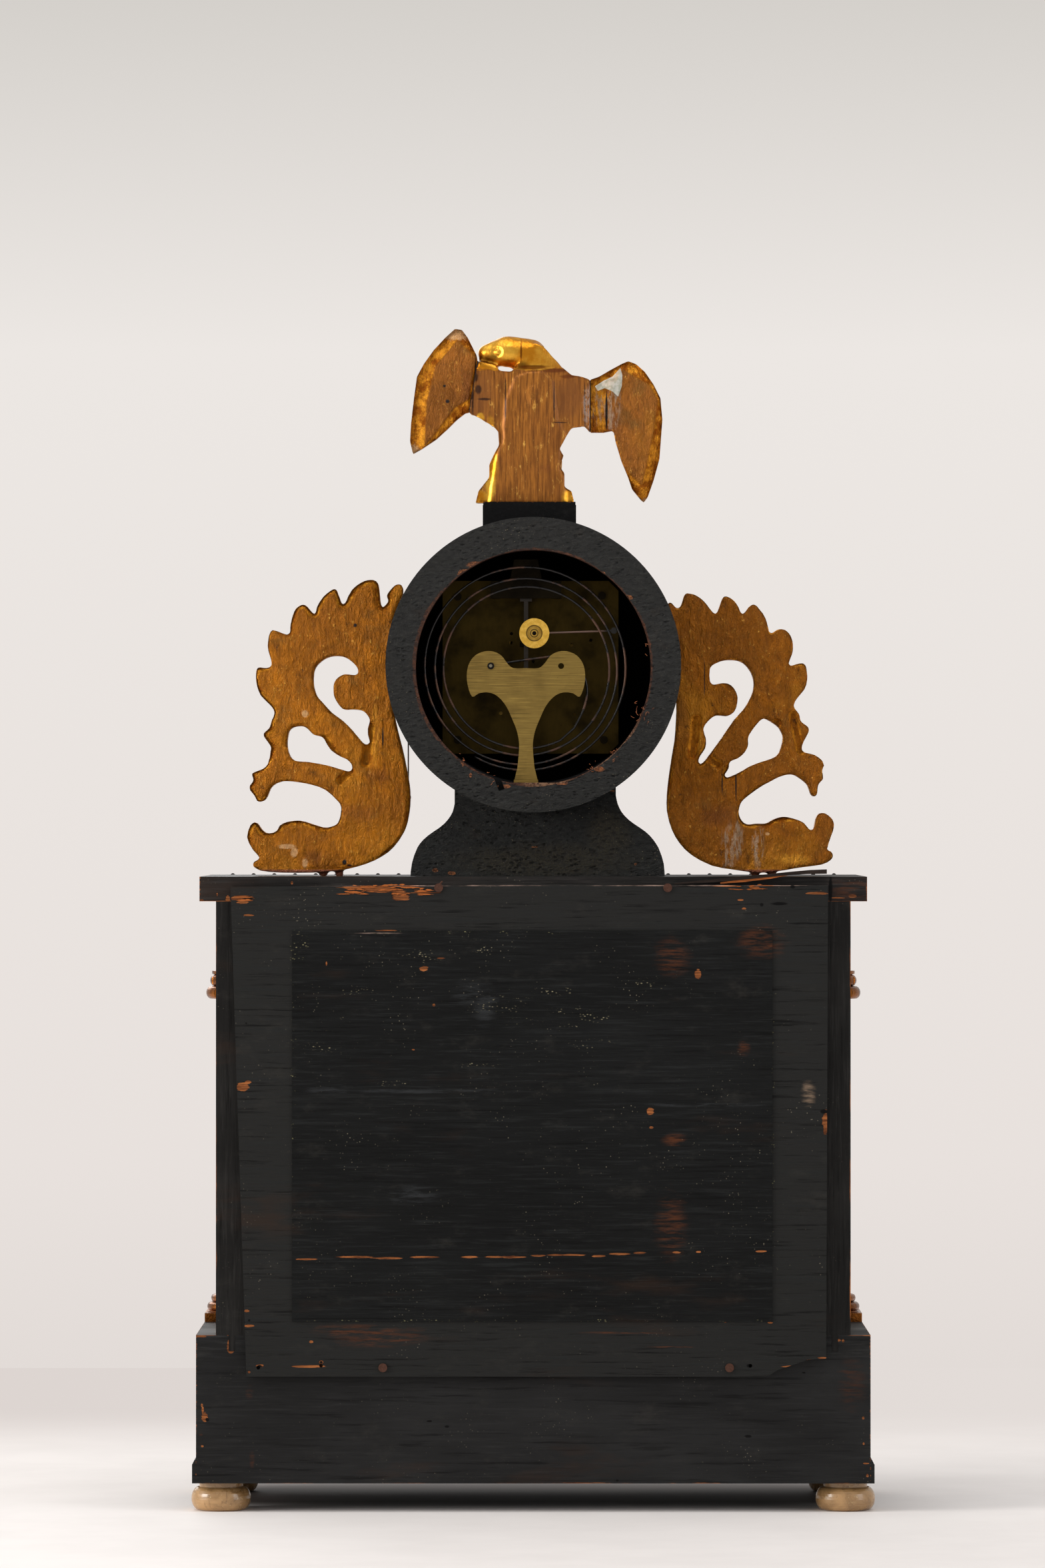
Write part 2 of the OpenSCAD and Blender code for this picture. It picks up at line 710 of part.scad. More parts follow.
// Hands
hour_y = dial_front - 1 - hand_t;
minute_y = hour_y - 1.4 - hand_t;
pipe_r = 1.9;
hour_pipe_r = 2.7;
module hour_hand() {
  color(dark_brass) slab_y(hour_y, hour_y + hand_t) translate([0, drum_z]) rotate(-60) difference() {
    union() {
      circle(r = 4.4);
      polygon([[-1.3, 3], [1.3, 3], [0.8, hour_l * 0.62], [-0.8, hour_l * 0.62]]);
      translate([0, hour_l * 0.7]) circle(r = 3.2);
      polygon([[-1.6, hour_l * 0.76], [1.6, hour_l * 0.76], [0, hour_l]]);
    }
    circle(r = hour_pipe_r);
    translate([0, hour_l * 0.7]) circle(r = 2);
  }
}
module minute_hand() {
  color(dark_brass) {
    slab_y(minute_y, minute_y + hand_t) translate([0, drum_z]) rotate(-300) difference() {
      union() {
        circle(r = 3.6);
        polygon([[-1.1, 3], [1.1, 3], [0.7, minute_l * 0.7], [-0.7, minute_l * 0.7]]);
        translate([0, minute_l * 0.75]) circle(r = 2.6);
        polygon([[-1.2, minute_l * 0.79], [1.2, minute_l * 0.79], [0, minute_l]]);
      }
      circle(r = pipe_r);
      translate([0, minute_l * 0.75]) circle(r = 1.6);
    }
    rod_y(0, drum_z, 2.6, minute_y - 1.2, minute_y);
  }
}

// Places in the movement, from the hands: going train right, strike train left
back_plate_y = movement_y + plate_gap / 2;
front_plate_y = movement_y - plate_gap / 2 - plate_t;
plate_z = drum_z - plate_drop;
half_turn = 180;
barrel_teeth = 76;
pinion_teeth = 12;
barrel_pitch = barrel_teeth * tooth_m / 2;
pinion_pitch = pinion_teeth * tooth_m / 2;
barrel_reach = barrel_pitch + pinion_pitch;
wind_drop = sqrt(barrel_reach * barrel_reach - wind_x * wind_x);
wheel_teeth = 60;
third_m = 0.4;
third_reach = (wheel_teeth + pinion_teeth) * tooth_m / 2;
escape_reach = (wheel_teeth + pinion_teeth) * third_m / 2;
escape_at = [swing_x, 26.5];
escape_r = 9.5;
anchor_at = [swing_x, 38.5];
// Where two circles round the hands and the escape wheel cross, on the right
escape_l = norm(escape_at);
third_along = (third_reach * third_reach - escape_reach * escape_reach + escape_l * escape_l) / (2 * escape_l);
third_off = sqrt(third_reach * third_reach - third_along * third_along);
third_at = [
  (escape_at[0] * third_along + escape_at[1] * third_off) / escape_l,
  (escape_at[1] * third_along - escape_at[0] * third_off) / escape_l
];
going_at = [wind_x, -wind_drop];
strike_at = [-wind_x, -wind_drop];
pin_a = 115;
pin_at = on_circle(barrel_reach, pin_a, strike_at);
hammer_at = [-40.9, 15.3];
motion_reach = 12;
minute_teeth = 36;
cannon_m = 2 * motion_reach / (minute_teeth + pinion_teeth);
hour_teeth = 40;
hour_leaves = 10;
hour_m = 2 * motion_reach / (hour_teeth + hour_leaves);

function bearing(a, b) = atan2(b[1] - a[1], b[0] - a[0]);

// Outline of a toothed wheel, with a tooth at angle a: root, tip, tip and root of each tooth
function teeth_points(n, m, a) = let (r = n * m / 2, root = r - 1.15 * m, tip = r + 0.85 * m)
  [for (i = [0:n - 1], p = [[root, -0.27], [tip, -0.12], [tip, 0.12], [root, 0.27]])
    on_circle(p[0], a + (i + p[1]) * 360 / n)];

// A toothed wheel or pinion from y0 to y1 at a place from the hands
module toothed(at, n, m, a, y0, y1) {
  slab_y(y0, y1) translate([at[0], drum_z + at[1]]) polygon(teeth_points(n, m, a));
}
// Windows between the arms of a wheel
module windows(at, r_in, r_out, arms, y0, y1) {
  slab_y(y0 - 1, y1 + 1) translate([at[0], drum_z + at[1]]) difference() {
    circle(r = r_out);
    circle(r = r_in);
    for (i = [0:arms - 1]) {
      rotate(i * 360 / arms) translate([0, -0.8]) square([r_out + 1, 1.6]);
    }
  }
}
module spot(at, r, y0, y1) {
  rod_y(at[0], drum_z + at[1], r, y0, y1);
}

// Plates, with holes for pivots and pillars
front_in = movement_y - plate_gap / 2;
back_out = back_plate_y + plate_t;
pillar_spots = [[38.5, 33], [-35, 33.5], [38.5, -40], [-36, -40]];
pillar_tenon_r = 2;
plate_corner = 5;
plate_outline = [
  [-plate_w / 2, -plate_h / 2 + plate_corner], [-plate_w / 2 + plate_corner, -plate_h / 2],
  [plate_w / 2 - plate_corner, -plate_h / 2], [plate_w / 2, -plate_h / 2 + plate_corner],
  [plate_w / 2, plate_h / 2 - plate_corner], [plate_w / 2 - plate_corner, plate_h / 2],
  [-plate_w / 2 + plate_corner, plate_h / 2], [-plate_w / 2, plate_h / 2 - plate_corner]
];
arbor_r = 1.5;
barrel_arbor_r = 2.2;
pivot_hole = pivot_r + running;
// Small empty holes in the back plate
spare_spots = [[11.5, 9.5], [16.6, -26.4], [-19.5, 8.5], [-21, -27]];
spare_r = 0.9;
module plate_blank(y0) {
  slab_y(y0, y0 + plate_t) translate([plate_x, plate_z]) polygon(plate_outline);
}
module plate_bores(y0, barrel_hole, centre_hole, anchor_hole) {
  for (at = [third_at, escape_at, pin_at, hammer_at]) {
    spot(at, pivot_hole, y0 - 1, y0 + plate_t + 1);
  }
  for (at = [going_at, strike_at]) {
    spot(at, barrel_hole + running, y0 - 1, y0 + plate_t + 1);
  }
  for (at = pillar_spots) {
    spot(at, pillar_tenon_r, y0 - 1, y0 + plate_t + 1);
  }
  spot([0, 0], centre_hole + running, y0 - 1, y0 + plate_t + 1);
  spot(anchor_at, anchor_hole, y0 - 1, y0 + plate_t + 1);
}
minute_at = [0, motion_reach];
module front_plate() {
  color(brass) {
    difference() {
      plate_blank(front_plate_y);
      plate_bores(front_plate_y, barrel_arbor_r, arbor_r, pivot_hole);
    }
    spot(minute_at, pivot_r, front_plate_y - 7, front_plate_y + eps);
  }
}
module back_plate() {
  color(dark_brass) difference() {
    plate_blank(back_plate_y);
    plate_bores(back_plate_y, barrel_arbor_r, pivot_r, 3);
    for (at = spare_spots) {
      spot(at, spare_r, back_plate_y - 1, back_out + 1);
    }
  }
}
module plate_pillars() {
  color(brass) for (at = pillar_spots) {
    spot(at, pillar_r, front_in, back_plate_y);
    spot(at, pillar_tenon_r, front_plate_y - 1, back_out + 1);
  }
}

// Barrels: a drum with a toothed rim, and an arbor with a winding square.
// The strike barrel is shorter, so that its rim runs clear of the centre pinion.
barrel_y0 = front_in + 4;
barrel_l = 20;
rim_t = 3;
barrel_y1 = barrel_y0 + barrel_l;
strike_y1 = barrel_y1 - rim_t - 1;
module barrel(at, a, y1) {
  color(brass) difference() {
    union() {
      spot(at, barrel_r, barrel_y0, y1, $fn = 96);
      toothed(at, barrel_teeth, tooth_m, a, y1 - eps, y1 + rim_t);
    }
    spot(at, barrel_arbor_r + running, barrel_y0 - 1, y1 + rim_t + 1);
    spot(at, barrel_r - 1.2, barrel_y0 + 1.2, y1 - 0.01, $fn = 96);
  }
}
module barrel_arbor(at) {
  color(steel) {
    spot(at, barrel_arbor_r, front_plate_y - 4, back_out);
    slab_y(dial_front + 1, front_plate_y - 4 + eps)
      translate([at[0] - square_w / 2, drum_z + at[1] - square_w / 2]) square(square_w);
  }
}
going_mesh = bearing([0, 0], going_at);
module going_barrel() { barrel(going_at, going_mesh + half_turn + half_turn / barrel_teeth, barrel_y1); }
module going_arbor() { barrel_arbor(going_at); }
module strike_barrel() { barrel(strike_at, pin_a, strike_y1); }
module strike_arbor() { barrel_arbor(strike_at); }

// Going train
centre_y = front_in + 1.5;
wheel_t = 1.5;
third_y = barrel_y1 + rim_t + 2;
third_mesh = bearing([0, 0], third_at);
escape_mesh = bearing(third_at, escape_at);
cannon_y = front_plate_y - 2.3;
module centre_wheel() {
  color(brass) difference() {
    toothed([0, 0], wheel_teeth, tooth_m, third_mesh, centre_y, centre_y + wheel_t);
    windows([0, 0], 3.4, 12.6, 5, centre_y, centre_y + wheel_t);
  }
  color(steel) {
    spot([0, 0], arbor_r, cannon_y, back_plate_y - 0.5);
    spot([0, 0], pivot_r, back_plate_y - 1, back_out);
    toothed([0, 0], pinion_teeth, tooth_m, going_mesh, barrel_y1 - 0.5, barrel_y1 + rim_t + 0.5);
    toothed([0, 0], pinion_teeth, cannon_m, 90, cannon_y, front_plate_y - 0.7);
    spot([0, 0], pipe_r, minute_y, cannon_y + eps);
  }
}
module wheel_on_arbor(at, n, m, wheel_a, y, leaf_n, leaf_m, leaf_a, leaf_y0, leaf_y1) {
  color(brass) difference() {
    toothed(at, n, m, wheel_a, y, y + wheel_t);
    windows(at, 2.8, n * m / 2 - 2, 5, y, y + wheel_t);
  }
  color(steel) {
    spot(at, 1, front_in + 0.4, back_plate_y - 0.4);
    spot(at, pivot_r, front_plate_y, back_out);
    toothed(at, leaf_n, leaf_m, leaf_a, leaf_y0, leaf_y1);
  }
}
module third_wheel() {
  wheel_on_arbor(third_at, wheel_teeth, third_m, escape_mesh, third_y,
    pinion_teeth, tooth_m, third_mesh + half_turn + half_turn / pinion_teeth, centre_y - 0.5, centre_y + wheel_t + 0.5);
}
escape_y = movement_y + 2;
escape_teeth = 30;
escape_points = [for (i = [0:escape_teeth - 1], p = [[escape_r - 2, -0.1], [escape_r, 0.1], [escape_r, 0.2], [escape_r - 2, 0.5]])
  on_circle(p[0], (i + p[1]) * 360 / escape_teeth)];
module escape_wheel() {
  color(brass) difference() {
    slab_y(escape_y, escape_y + wheel_t)
      translate([escape_at[0], drum_z + escape_at[1]]) polygon(escape_points);
    windows(escape_at, 2.4, escape_r - 3, 4, escape_y, escape_y + wheel_t);
  }
  color(steel) {
    spot(escape_at, 1, front_in + 0.4, back_plate_y - 0.4);
    spot(escape_at, pivot_r, front_plate_y, back_out);
    toothed(escape_at, pinion_teeth, third_m, escape_mesh + half_turn + half_turn / pinion_teeth,
      third_y - 0.5, third_y + wheel_t + 0.5);
  }
}

// Motion work in front of the front plate
minute_wheel_y = front_plate_y - 2;
hour_wheel_y = minute_wheel_y - 3;
module minute_wheel() {
  color(brass) difference() {
    union() {
      toothed(minute_at, minute_teeth, cannon_m, -90 + half_turn / minute_teeth, minute_wheel_y, minute_wheel_y + 1);
      toothed(minute_at, hour_leaves, hour_m, -90, hour_wheel_y - 0.6, minute_wheel_y + eps);
    }
    spot(minute_at, pivot_hole, hour_wheel_y - 2, front_plate_y);
  }
}
module hour_wheel() {
  color(brass) difference() {
    union() {
      toothed([0, 0], hour_teeth, hour_m, 90 + half_turn / hour_teeth, hour_wheel_y, hour_wheel_y + 1.4);
      spot([0, 0], hour_pipe_r, hour_y, hour_wheel_y + eps);
    }
    spot([0, 0], pipe_r + running, hour_y - 1, hour_wheel_y + 2);
  }
}

// Strike side: a wheel with lifting pins, driven by the strike barrel
pin_wheel_teeth = 48;
pin_wheel_m = 0.35;
pin_circle = 7;
module pin_wheel() {
  wheel_on_arbor(pin_at, pin_wheel_teeth, pin_wheel_m, 0, third_y,
    pinion_teeth, tooth_m, pin_a + half_turn + half_turn / pinion_teeth, strike_y1 - 0.5, strike_y1 + rim_t + 0.5);
  color(steel) for (i = [0:7]) {
    spot(on_circle(pin_circle, i * 45, pin_at), 0.5, third_y + wheel_t - eps, third_y + wheel_t + 2);
  }
}

// Back cock: two feet on the back plate carry a bar with an upright lug and the silk's stud
cock_gap = 8;
cock_y = back_out + cock_gap;
cock_t = 2;
cock_foot_x = 15.5;
bar_low = anchor_at[1] - 6.6;
bar_high = anchor_at[1] + 2;
lug_top = suspension_h + 2.6;
stud_r = 1;
silk_r = 0.25;
pendulum_y = back_out + 4.5;
module at_swing(h) {
  translate([swing_x, 0, drum_z + h]) children();
}
module back_cock() {
  color(brass) at_swing(0) difference() {
    union() {
      slab_y(cock_y, cock_y + cock_t) {
        translate([-cock_foot_x - 2.5, bar_low]) square([2 * cock_foot_x + 5, bar_high - bar_low]);
        polygon([[-8.5, bar_high - 1], [8.5, bar_high - 1], [6, lug_top], [-6, lug_top]]);
      }
      for (s = [-1, 1]) {
        board([s * cock_foot_x - 2.5, back_out, bar_low], [s * cock_foot_x + 2.5, cock_y + eps, bar_high]);
      }
      rod_y(0, suspension_h, stud_r, pendulum_y - 1.6, cock_y + eps);
      rod_y(0, suspension_h, stud_r + 0.8, pendulum_y - 2.2, pendulum_y - 1.5);
    }
    rod_y(0, anchor_at[1], pivot_hole, cock_y - 1, cock_y + cock_t + 1);
  }
}

// Pendulum: silk loop over the stud, crosspiece, rod and bob with a rating nut
silk_ring_r = stud_r + silk_r + 0.12;
cross_z = suspension_h - 17;
cross_w = 6;
rod_w = 2.2;
bob_z = suspension_h - pendulum_l;
bob_t = 4;
module pendulum() {
  color("wheat") slab_y(pendulum_y - silk_r, pendulum_y + silk_r) translate([swing_x, drum_z]) {
    translate([0, suspension_h]) difference() {
      circle(r = silk_ring_r + silk_r);
      circle(r = silk_ring_r - silk_r);
    }
    for (s = [-1, 1]) {
      top = [s * silk_ring_r, suspension_h];
      foot = [s * (cross_w / 2 - 0.6), cross_z - 0.5];
      polygon([top - [silk_r, 0], top + [silk_r, 0], foot + [silk_r, 0], foot - [silk_r, 0]]);
    }
  }
  color(steel) at_swing(0) {
    board([-cross_w / 2, pendulum_y - 0.8, cross_z - 1.6], [cross_w / 2, pendulum_y + 0.8, cross_z]);
    board([-rod_w / 2, pendulum_y - 0.5, bob_z - bob_r - 2.5], [rod_w / 2, pendulum_y + 0.5, cross_z - 1]);
  }
  color(brass) at_swing(bob_z) {
    translate([0, pendulum_y + bob_t / 2, 0]) rotate([90, 0, 0]) rotate_extrude($fn = 96)
      polygon(concat([[0, 0]], oval([bob_r - 0.8, bob_t / 2], 0.8, bob_t / 2, -90, 90, 4), [[0, bob_t]]));
    translate([0, pendulum_y, -bob_r - 2.2]) cylinder(r = 1.9, h = 1.4);
  }
}

// Anchor on its arbor, with the crutch that embraces the pendulum's rod
crutch_h = 30;
pallet_a = 50;
pallet_r = escape_r + 1.1;
fork_r = 0.6;
module anchor() {
  color(steel) at_swing(0) {
    slab_y(escape_y - 0.4, escape_y + wheel_t + 0.4) difference() {
      union() {
        for (s = [-1, 1]) {
          tip = on_circle(pallet_r, 90 - s * pallet_a, [0, escape_at[1]]);
          polygon([[0, anchor_at[1] - 1], [s * 6.6, anchor_at[1] - 1.4], tip, tip + [s * 2, 1],
            [s * 8.2, anchor_at[1] + 0.6], [s * 4.5, anchor_at[1] + 2.4], [0, anchor_at[1] + 2.4]]);
        }
      }
    }
    rod_y(0, anchor_at[1], 1.2, front_in + 0.4, back_plate_y - 0.4);
    rod_y(0, anchor_at[1], pivot_r, front_plate_y, cock_y + cock_t);
    slab_y(back_out + 0.8, back_out + 1.8) {
      translate([0, anchor_at[1]]) circle(r = 2);
      translate([-0.9, anchor_at[1] - crutch_h]) square([1.8, crutch_h]);
      translate([-3.2, anchor_at[1] - crutch_h - 1.2]) square([6.4, 2.4]);
    }
    for (s = [-1, 1]) {
      rod_y(s * (rod_w / 2 + fork_r + 0.35), anchor_at[1] - crutch_h, fork_r,
        back_out + 1.8 - eps, pendulum_y + 1.4);
    }
  }
}

// Hammer on its arbor, with the tail that the pins of the pin wheel lift
stand_y = hoop_back + 5;
gong_y = stand_y - 4;
hammer_y0 = gong_y - 3;
head_at = [-0.5, 13.9];
tail_l = 4;
tail_a = bearing(hammer_at, pin_at);
module hammer() {
  arm = norm(head_at - hammer_at);
  lean = bearing(hammer_at, head_at);
  color(steel) {
    spot(hammer_at, 1, front_in + 0.4, back_plate_y - 0.4);
    spot(hammer_at, pivot_r, front_plate_y, hammer_y0 + 1);
    spot(hammer_at, 1.6, hammer_y0 - 0.6, hammer_y0 + 1.2);
    slab_y(third_y + wheel_t + 0.4, third_y + wheel_t + 1.6)
      translate([hammer_at[0], drum_z + hammer_at[1]]) rotate(tail_a)
        polygon([[0, -1.4], [tail_l, -0.6], [tail_l, 0.6], [0, 1.4]]);
    translate([hammer_at[0], hammer_y0 + 0.5, drum_z + hammer_at[1]]) rotate([0, 90 - lean, 0])
      cylinder(r = 0.5, h = arm - hammer_r + 1);
  }
  color(brass) difference() {
    spot(head_at, hammer_r, hammer_y0, hammer_y0 + hammer_t);
    difference() {
      spot(head_at, hammer_r * 0.54, hammer_y0 + hammer_t - 1, hammer_y0 + hammer_t + 1);
      spot(head_at, hammer_r * 0.34, hammer_y0 + hammer_t - 2, hammer_y0 + hammer_t - 0.2);
    }
    spot(head_at, hammer_r * 0.14, hammer_y0 + 1, hammer_y0 + hammer_t + 1);
  }
}

// Curve through points, with n steps between two of them
function spline_at(a, b, c, d, t) = 0.5 * (2 * b + (c - a) * t + (2 * a - 5 * b + 4 * c - d) * t * t
  + (3 * b - a - 3 * c + d) * t * t * t);
function spline(p, n) = let (k = len(p) - 1) concat(
  [for (i = [0:k - 1], j = [0:n - 1])
    spline_at(p[max(i - 1, 0)], p[i], p[i + 1], p[min(i + 2, k)], j / n)], [p[k]]);
function closed_spline(p, n) = let (k = len(p)) [for (i = [0:k - 1], j = [0:n - 1])
  spline_at(p[(i + k - 1) % k], p[i], p[(i + 1) % k], p[(i + 2) % k], j / n)];

// Gong: one wire, wound outwards in a flat spiral from its straight inner end
gong_at = [swing_x, -4.1];
gong_rings = 24;
gong_start = 245;
rivet_at = [17.8, 1.3];
boss_r = 2.4;
inner_end = [
  [rivet_at[0] - boss_r - 0.05, 1.8], [7.5, 3.4], [-8, 5.6], [-18.5, 6.4], [-25.5, 2.5],
  [-29.5, -4], [-31, -12], [-29, -21], [-24.5, -30]
];
gong_steps = gong_turns * gong_rings;
gong_path = concat(
  spline(inner_end, 3),
  [for (i = [0:gong_steps]) on_circle(gong_in_r + (gong_out_r - gong_in_r) * i / gong_steps,
    gong_start + 360 * i / gong_rings)]
);
// A round wire along points in the XZ plane
module flat_wire(p, r, sides) {
  k = len(p) - 1;
  rings = [for (i = [0:k]) let (d = p[min(i + 1, k)] - p[max(i - 1, 0)], u = d / norm(d))
    for (j = [0:sides - 1]) let (a = 360 * j / sides)
      [p[i][0] - u[1] * r * cos(a), r * sin(a), p[i][1] + u[0] * r * cos(a)]];
  walls = [for (i = [0:k - 1], j = [0:sides - 1]) let (q = (j + 1) % sides, a = i * sides, b = a + sides)
    each [[a + j, b + j, b + q], [a + j, b + q, a + q]]];
  ends = [for (j = [1:sides - 2]) each [[0, j, j + 1], [k * sides, k * sides + j + 1, k * sides + j]]];
  polyhedron(rings, concat(walls, ends));
}
function least_gap(p, r) = min([for (i = [0:len(p) - 8], j = [i + 7:len(p) - 1]) norm(p[i] - p[j])]) - 2 * r;
module gong() {
  echo(least_gap_of_gong = least_gap(gong_path, wire_r));
  color(steel) translate([gong_at[0], gong_y, drum_z + gong_at[1]]) flat_wire(gong_path, wire_r, 6);
}

// Gong stand: an upright with two lobes, a foot on the flat of the opening, and the gong's boss
stand_half = [
  [0, 0.2], [6.3, 0.2], [9.4, 2.6], [12.5, 6.6], [16.5, 8.6], [21, 8.7], [25.5, 6.8], [28.6, 3],
  [29.9, -2], [29.6, -8], [27.3, -14.2], [24, -12.6], [20, -12], [16, -13], [12.5, -15.8], [9.5, -20],
  [6.8, -26], [4.8, -31], [3.7, -36], [3.5, -41], [4.3, -50]
];
stand_foot = flat_z - (drum_z + gong_at[1]);
stand_foot_w = 12.4;
stand_foot_t = 1.5;
stand_outline = concat(
  spline(stand_half, 3), [[stand_foot_w / 2, stand_foot], [-stand_foot_w / 2, stand_foot]],
  [for (p = [for (i = [len(stand_half) * 3 - 3:-1:1]) spline(stand_half, 3)[i]]) [-p[0], p[1]]]
);
module gong_stand() {
  color(dark_brass) translate([gong_at[0], 0, drum_z + gong_at[1]]) {
    difference() {
      slab_y(stand_y, stand_y + stand_t) polygon(stand_outline);
      rod_y(-rivet_at[0], rivet_at[1], stand_hole_r, stand_y - 1, stand_y + stand_t + 1);
    }
    board([-stand_foot_w / 2, stand_y - 4, stand_foot],
      [stand_foot_w / 2, stand_y + eps, stand_foot + stand_foot_t]);
    rod_y(rivet_at[0], rivet_at[1], boss_r, gong_y - 1.2, stand_y + eps);
    rod_y(rivet_at[0], rivet_at[1], stand_hole_r + 0.2, stand_y + stand_t - eps, stand_y + stand_t + 0.5);
  }
}

// Eagle's block, hollowed to sit on the drum
block_top = drum_z + drum_r + block_h;
block_x = 2;
block_lip = 0.5;
module eagle_block() {
  color(ebony) difference() {
    union() {
      board([block_x - block_w / 2, -block_d / 2, drum_z], [block_x + block_w / 2, block_d / 2, block_top]);
      board([block_x - block_w / 2 - block_lip, -block_d / 2 - 2, drum_z],
        [block_x + block_w / 2 + block_lip, -block_d / 2 + eps, block_top]);
    }
    rod_y(0, drum_z, hoop_r + running, -block_d, block_d, $fn = 128);
  }
}

// Eagle, from its block up: torso, head turned to its left, feet, and two glued wings
eagle_y1 = 8;
eagle_y0 = eagle_y1 - eagle_t;
torso = [
  [28.2, 73], [24, 71.8], [18.6, 70.4], [17.6, 67.6], [11.5, 67], [8.5, 69.5], [4, 76], [-1, 82],
  [-5.5, 80], [-9.5, 75.4], [-15.1, 69], [-19.5, 65.3], [-24.5, 64.5], [-28.8, 63], [-28.8, 36],
  [-26, 39], [-19.5, 38], [-17.5, 35], [-13.5, 27.5], [-15.5, 24], [-13.5, 18.5], [-16, 15],
  [-16, 8], [-19.5, 6], [-21, 0], [29.5, 0], [28, 6], [22.5, 13], [22.5, 19.5], [20, 25],
  [17.5, 29.5], [18, 36.5], [20.5, 39], [28, 43.5], [32.7, 45.7]
];
module ball(p, r) {
  translate(p) sphere(r = r, $fn = 20);
}
module eagle_body() {
  mid = (eagle_y0 + eagle_y1) / 2;
  color(gilt) translate([0, 0, block_top]) {
    slab_y(eagle_y0, eagle_y1) polygon(torso);
    hull() {
      ball([24, mid, 76.7], 4.6);
      ball([13.2, mid, 77.6], 8.2);
      ball([1, mid, 76.4], 7.7);
    }
    hull() {
      ball([1, mid, 76.4], 7.7);
      ball([-12, mid, 63], 5.4);
    }
    hull() {
      ball([0, eagle_y0 + 3, 56], 13);
      ball([2, eagle_y0 + 4, 34], 10);
    }
    for (x = [-10, 14]) {
      hull() {
        ball([x, eagle_y0 - 1, 4], 3.8);
        ball([x, eagle_y0 + 3, 22], 5);
      }
    }
  }
}
wing_y1 = eagle_y1 - 2;
wing_left = [
  [40, 89], [36.5, 88.5], [33.5, 84.5], [29, 75.5], [28.2 + glue, 73], [32.7 + glue, 46], [34.5, 46],
  [39, 42.5], [43.5, 38], [49.5, 32.5], [57, 27.5], [61.5, 25], [63, 31.5], [62.5, 40.5], [61, 53.5],
  [59.5, 64.5], [56, 71], [51, 78], [45, 84.5]
];
wing_right = [
  [-28.8 - glue, 63], [-28.8 - glue, 36], [-36, 36], [-41, 37], [-42, 31.5], [-45, 21.5], [-48.5, 13],
  [-50.5, 7], [-55, 1.5], [-56.5, 0.3], [-58.5, 3], [-61.5, 11.5], [-64.5, 22.5], [-66, 42.5],
  [-65, 53.5], [-61.5, 60.5], [-57, 67], [-52.5, 71], [-48.5, 72.5], [-45, 71], [-39.5, 68], [-33.5, 64.5]
];
// Points of an outline drawn in towards a middle
function drawn_in(p, c, k) = [for (q = p) c + (q - c) * k];
module wing(p, c) {
  color(gilt) translate([0, 0, block_top]) {
    slab_y(wing_y1 - wing_t * 0.6, wing_y1) polygon(p);
    slab_y(wing_y1 - wing_t * 0.8, wing_y1 - wing_t * 0.5) polygon(drawn_in(p, c, 0.82));
    slab_y(wing_y1 - wing_t, wing_y1 - wing_t * 0.7) polygon(drawn_in(p, c, 0.6));
  }
}
wing_left_middle = [44, 66];
wing_right_middle = [-50, 56];
module eagle_wing_left() { wing(wing_left, wing_left_middle); }
module eagle_wing_right() { wing(wing_right, wing_right_middle); }

// Side scrolls: pierced leafwork that leans on the drum and stands on two pegs.
// Each is drawn from its lower left corner as seen from behind.
scroll_y0 = 14;
scroll_z = cornice_top + scroll_gap;
left_edge = [
  [82, 146.5], [83, 142], [80.5, 135.5], [78, 127], [82, 116.5], [83, 100], [79.8, 92], [78, 85.5],
  [79.6, 75], [82.4, 64.2], [84.7, 53.4], [86.2, 45], [86.7, 38], [86, 29.5], [84, 22], [80.5, 16], [75.5, 10.5], [68, 6], [59.5, 3], [50, 1],
  [37, 0], [21, 0], [10.5, 1], [6.5, 3.5], [7.5, 6], [10.5, 7], [6.5, 11.5], [3.5, 18], [5.5, 24.5],
  [8.5, 25.5], [11, 22], [14, 20], [18.5, 21], [20, 24], [24.5, 26], [30.5, 26.5], [36, 25],
  [42.5, 23], [46.5, 23.5], [50, 25.5], [51.5, 33], [49, 37], [43.5, 42], [37, 44.5], [29.5, 46],
  [22, 46.5], [17, 44.5], [15, 41.5], [13, 37], [9, 36], [7.5, 39], [5, 42], [5, 44.5], [7, 47],
  [6, 50.5], [11, 52.5], [14, 55], [15.5, 61.5], [15.5, 64.5], [12.5, 68.5], [12, 71], [15, 73.5],
  [16, 77.5], [17.5, 81], [16, 84.5], [10.5, 90], [8.5, 95.5], [8, 100.5], [9, 104.5], [12.5, 104],
  [16, 105], [15.5, 109], [14, 114.5], [14.5, 119.5], [16, 123.5], [21, 122], [25, 121], [25.5, 125],
  [26.5, 130], [28.5, 134.5], [32, 136.5], [34.5, 135], [38, 131], [39, 135], [42, 140], [45.5, 143],
  [48.5, 144.5], [50, 141.5], [52.5, 135], [54, 138.5], [57, 144], [61.5, 147.5], [65.5, 149],
  [69, 148.5], [70.5, 146], [71, 141.5], [72, 135], [74, 136], [75.5, 138.5], [74.5, 141], [78.5, 146]
];
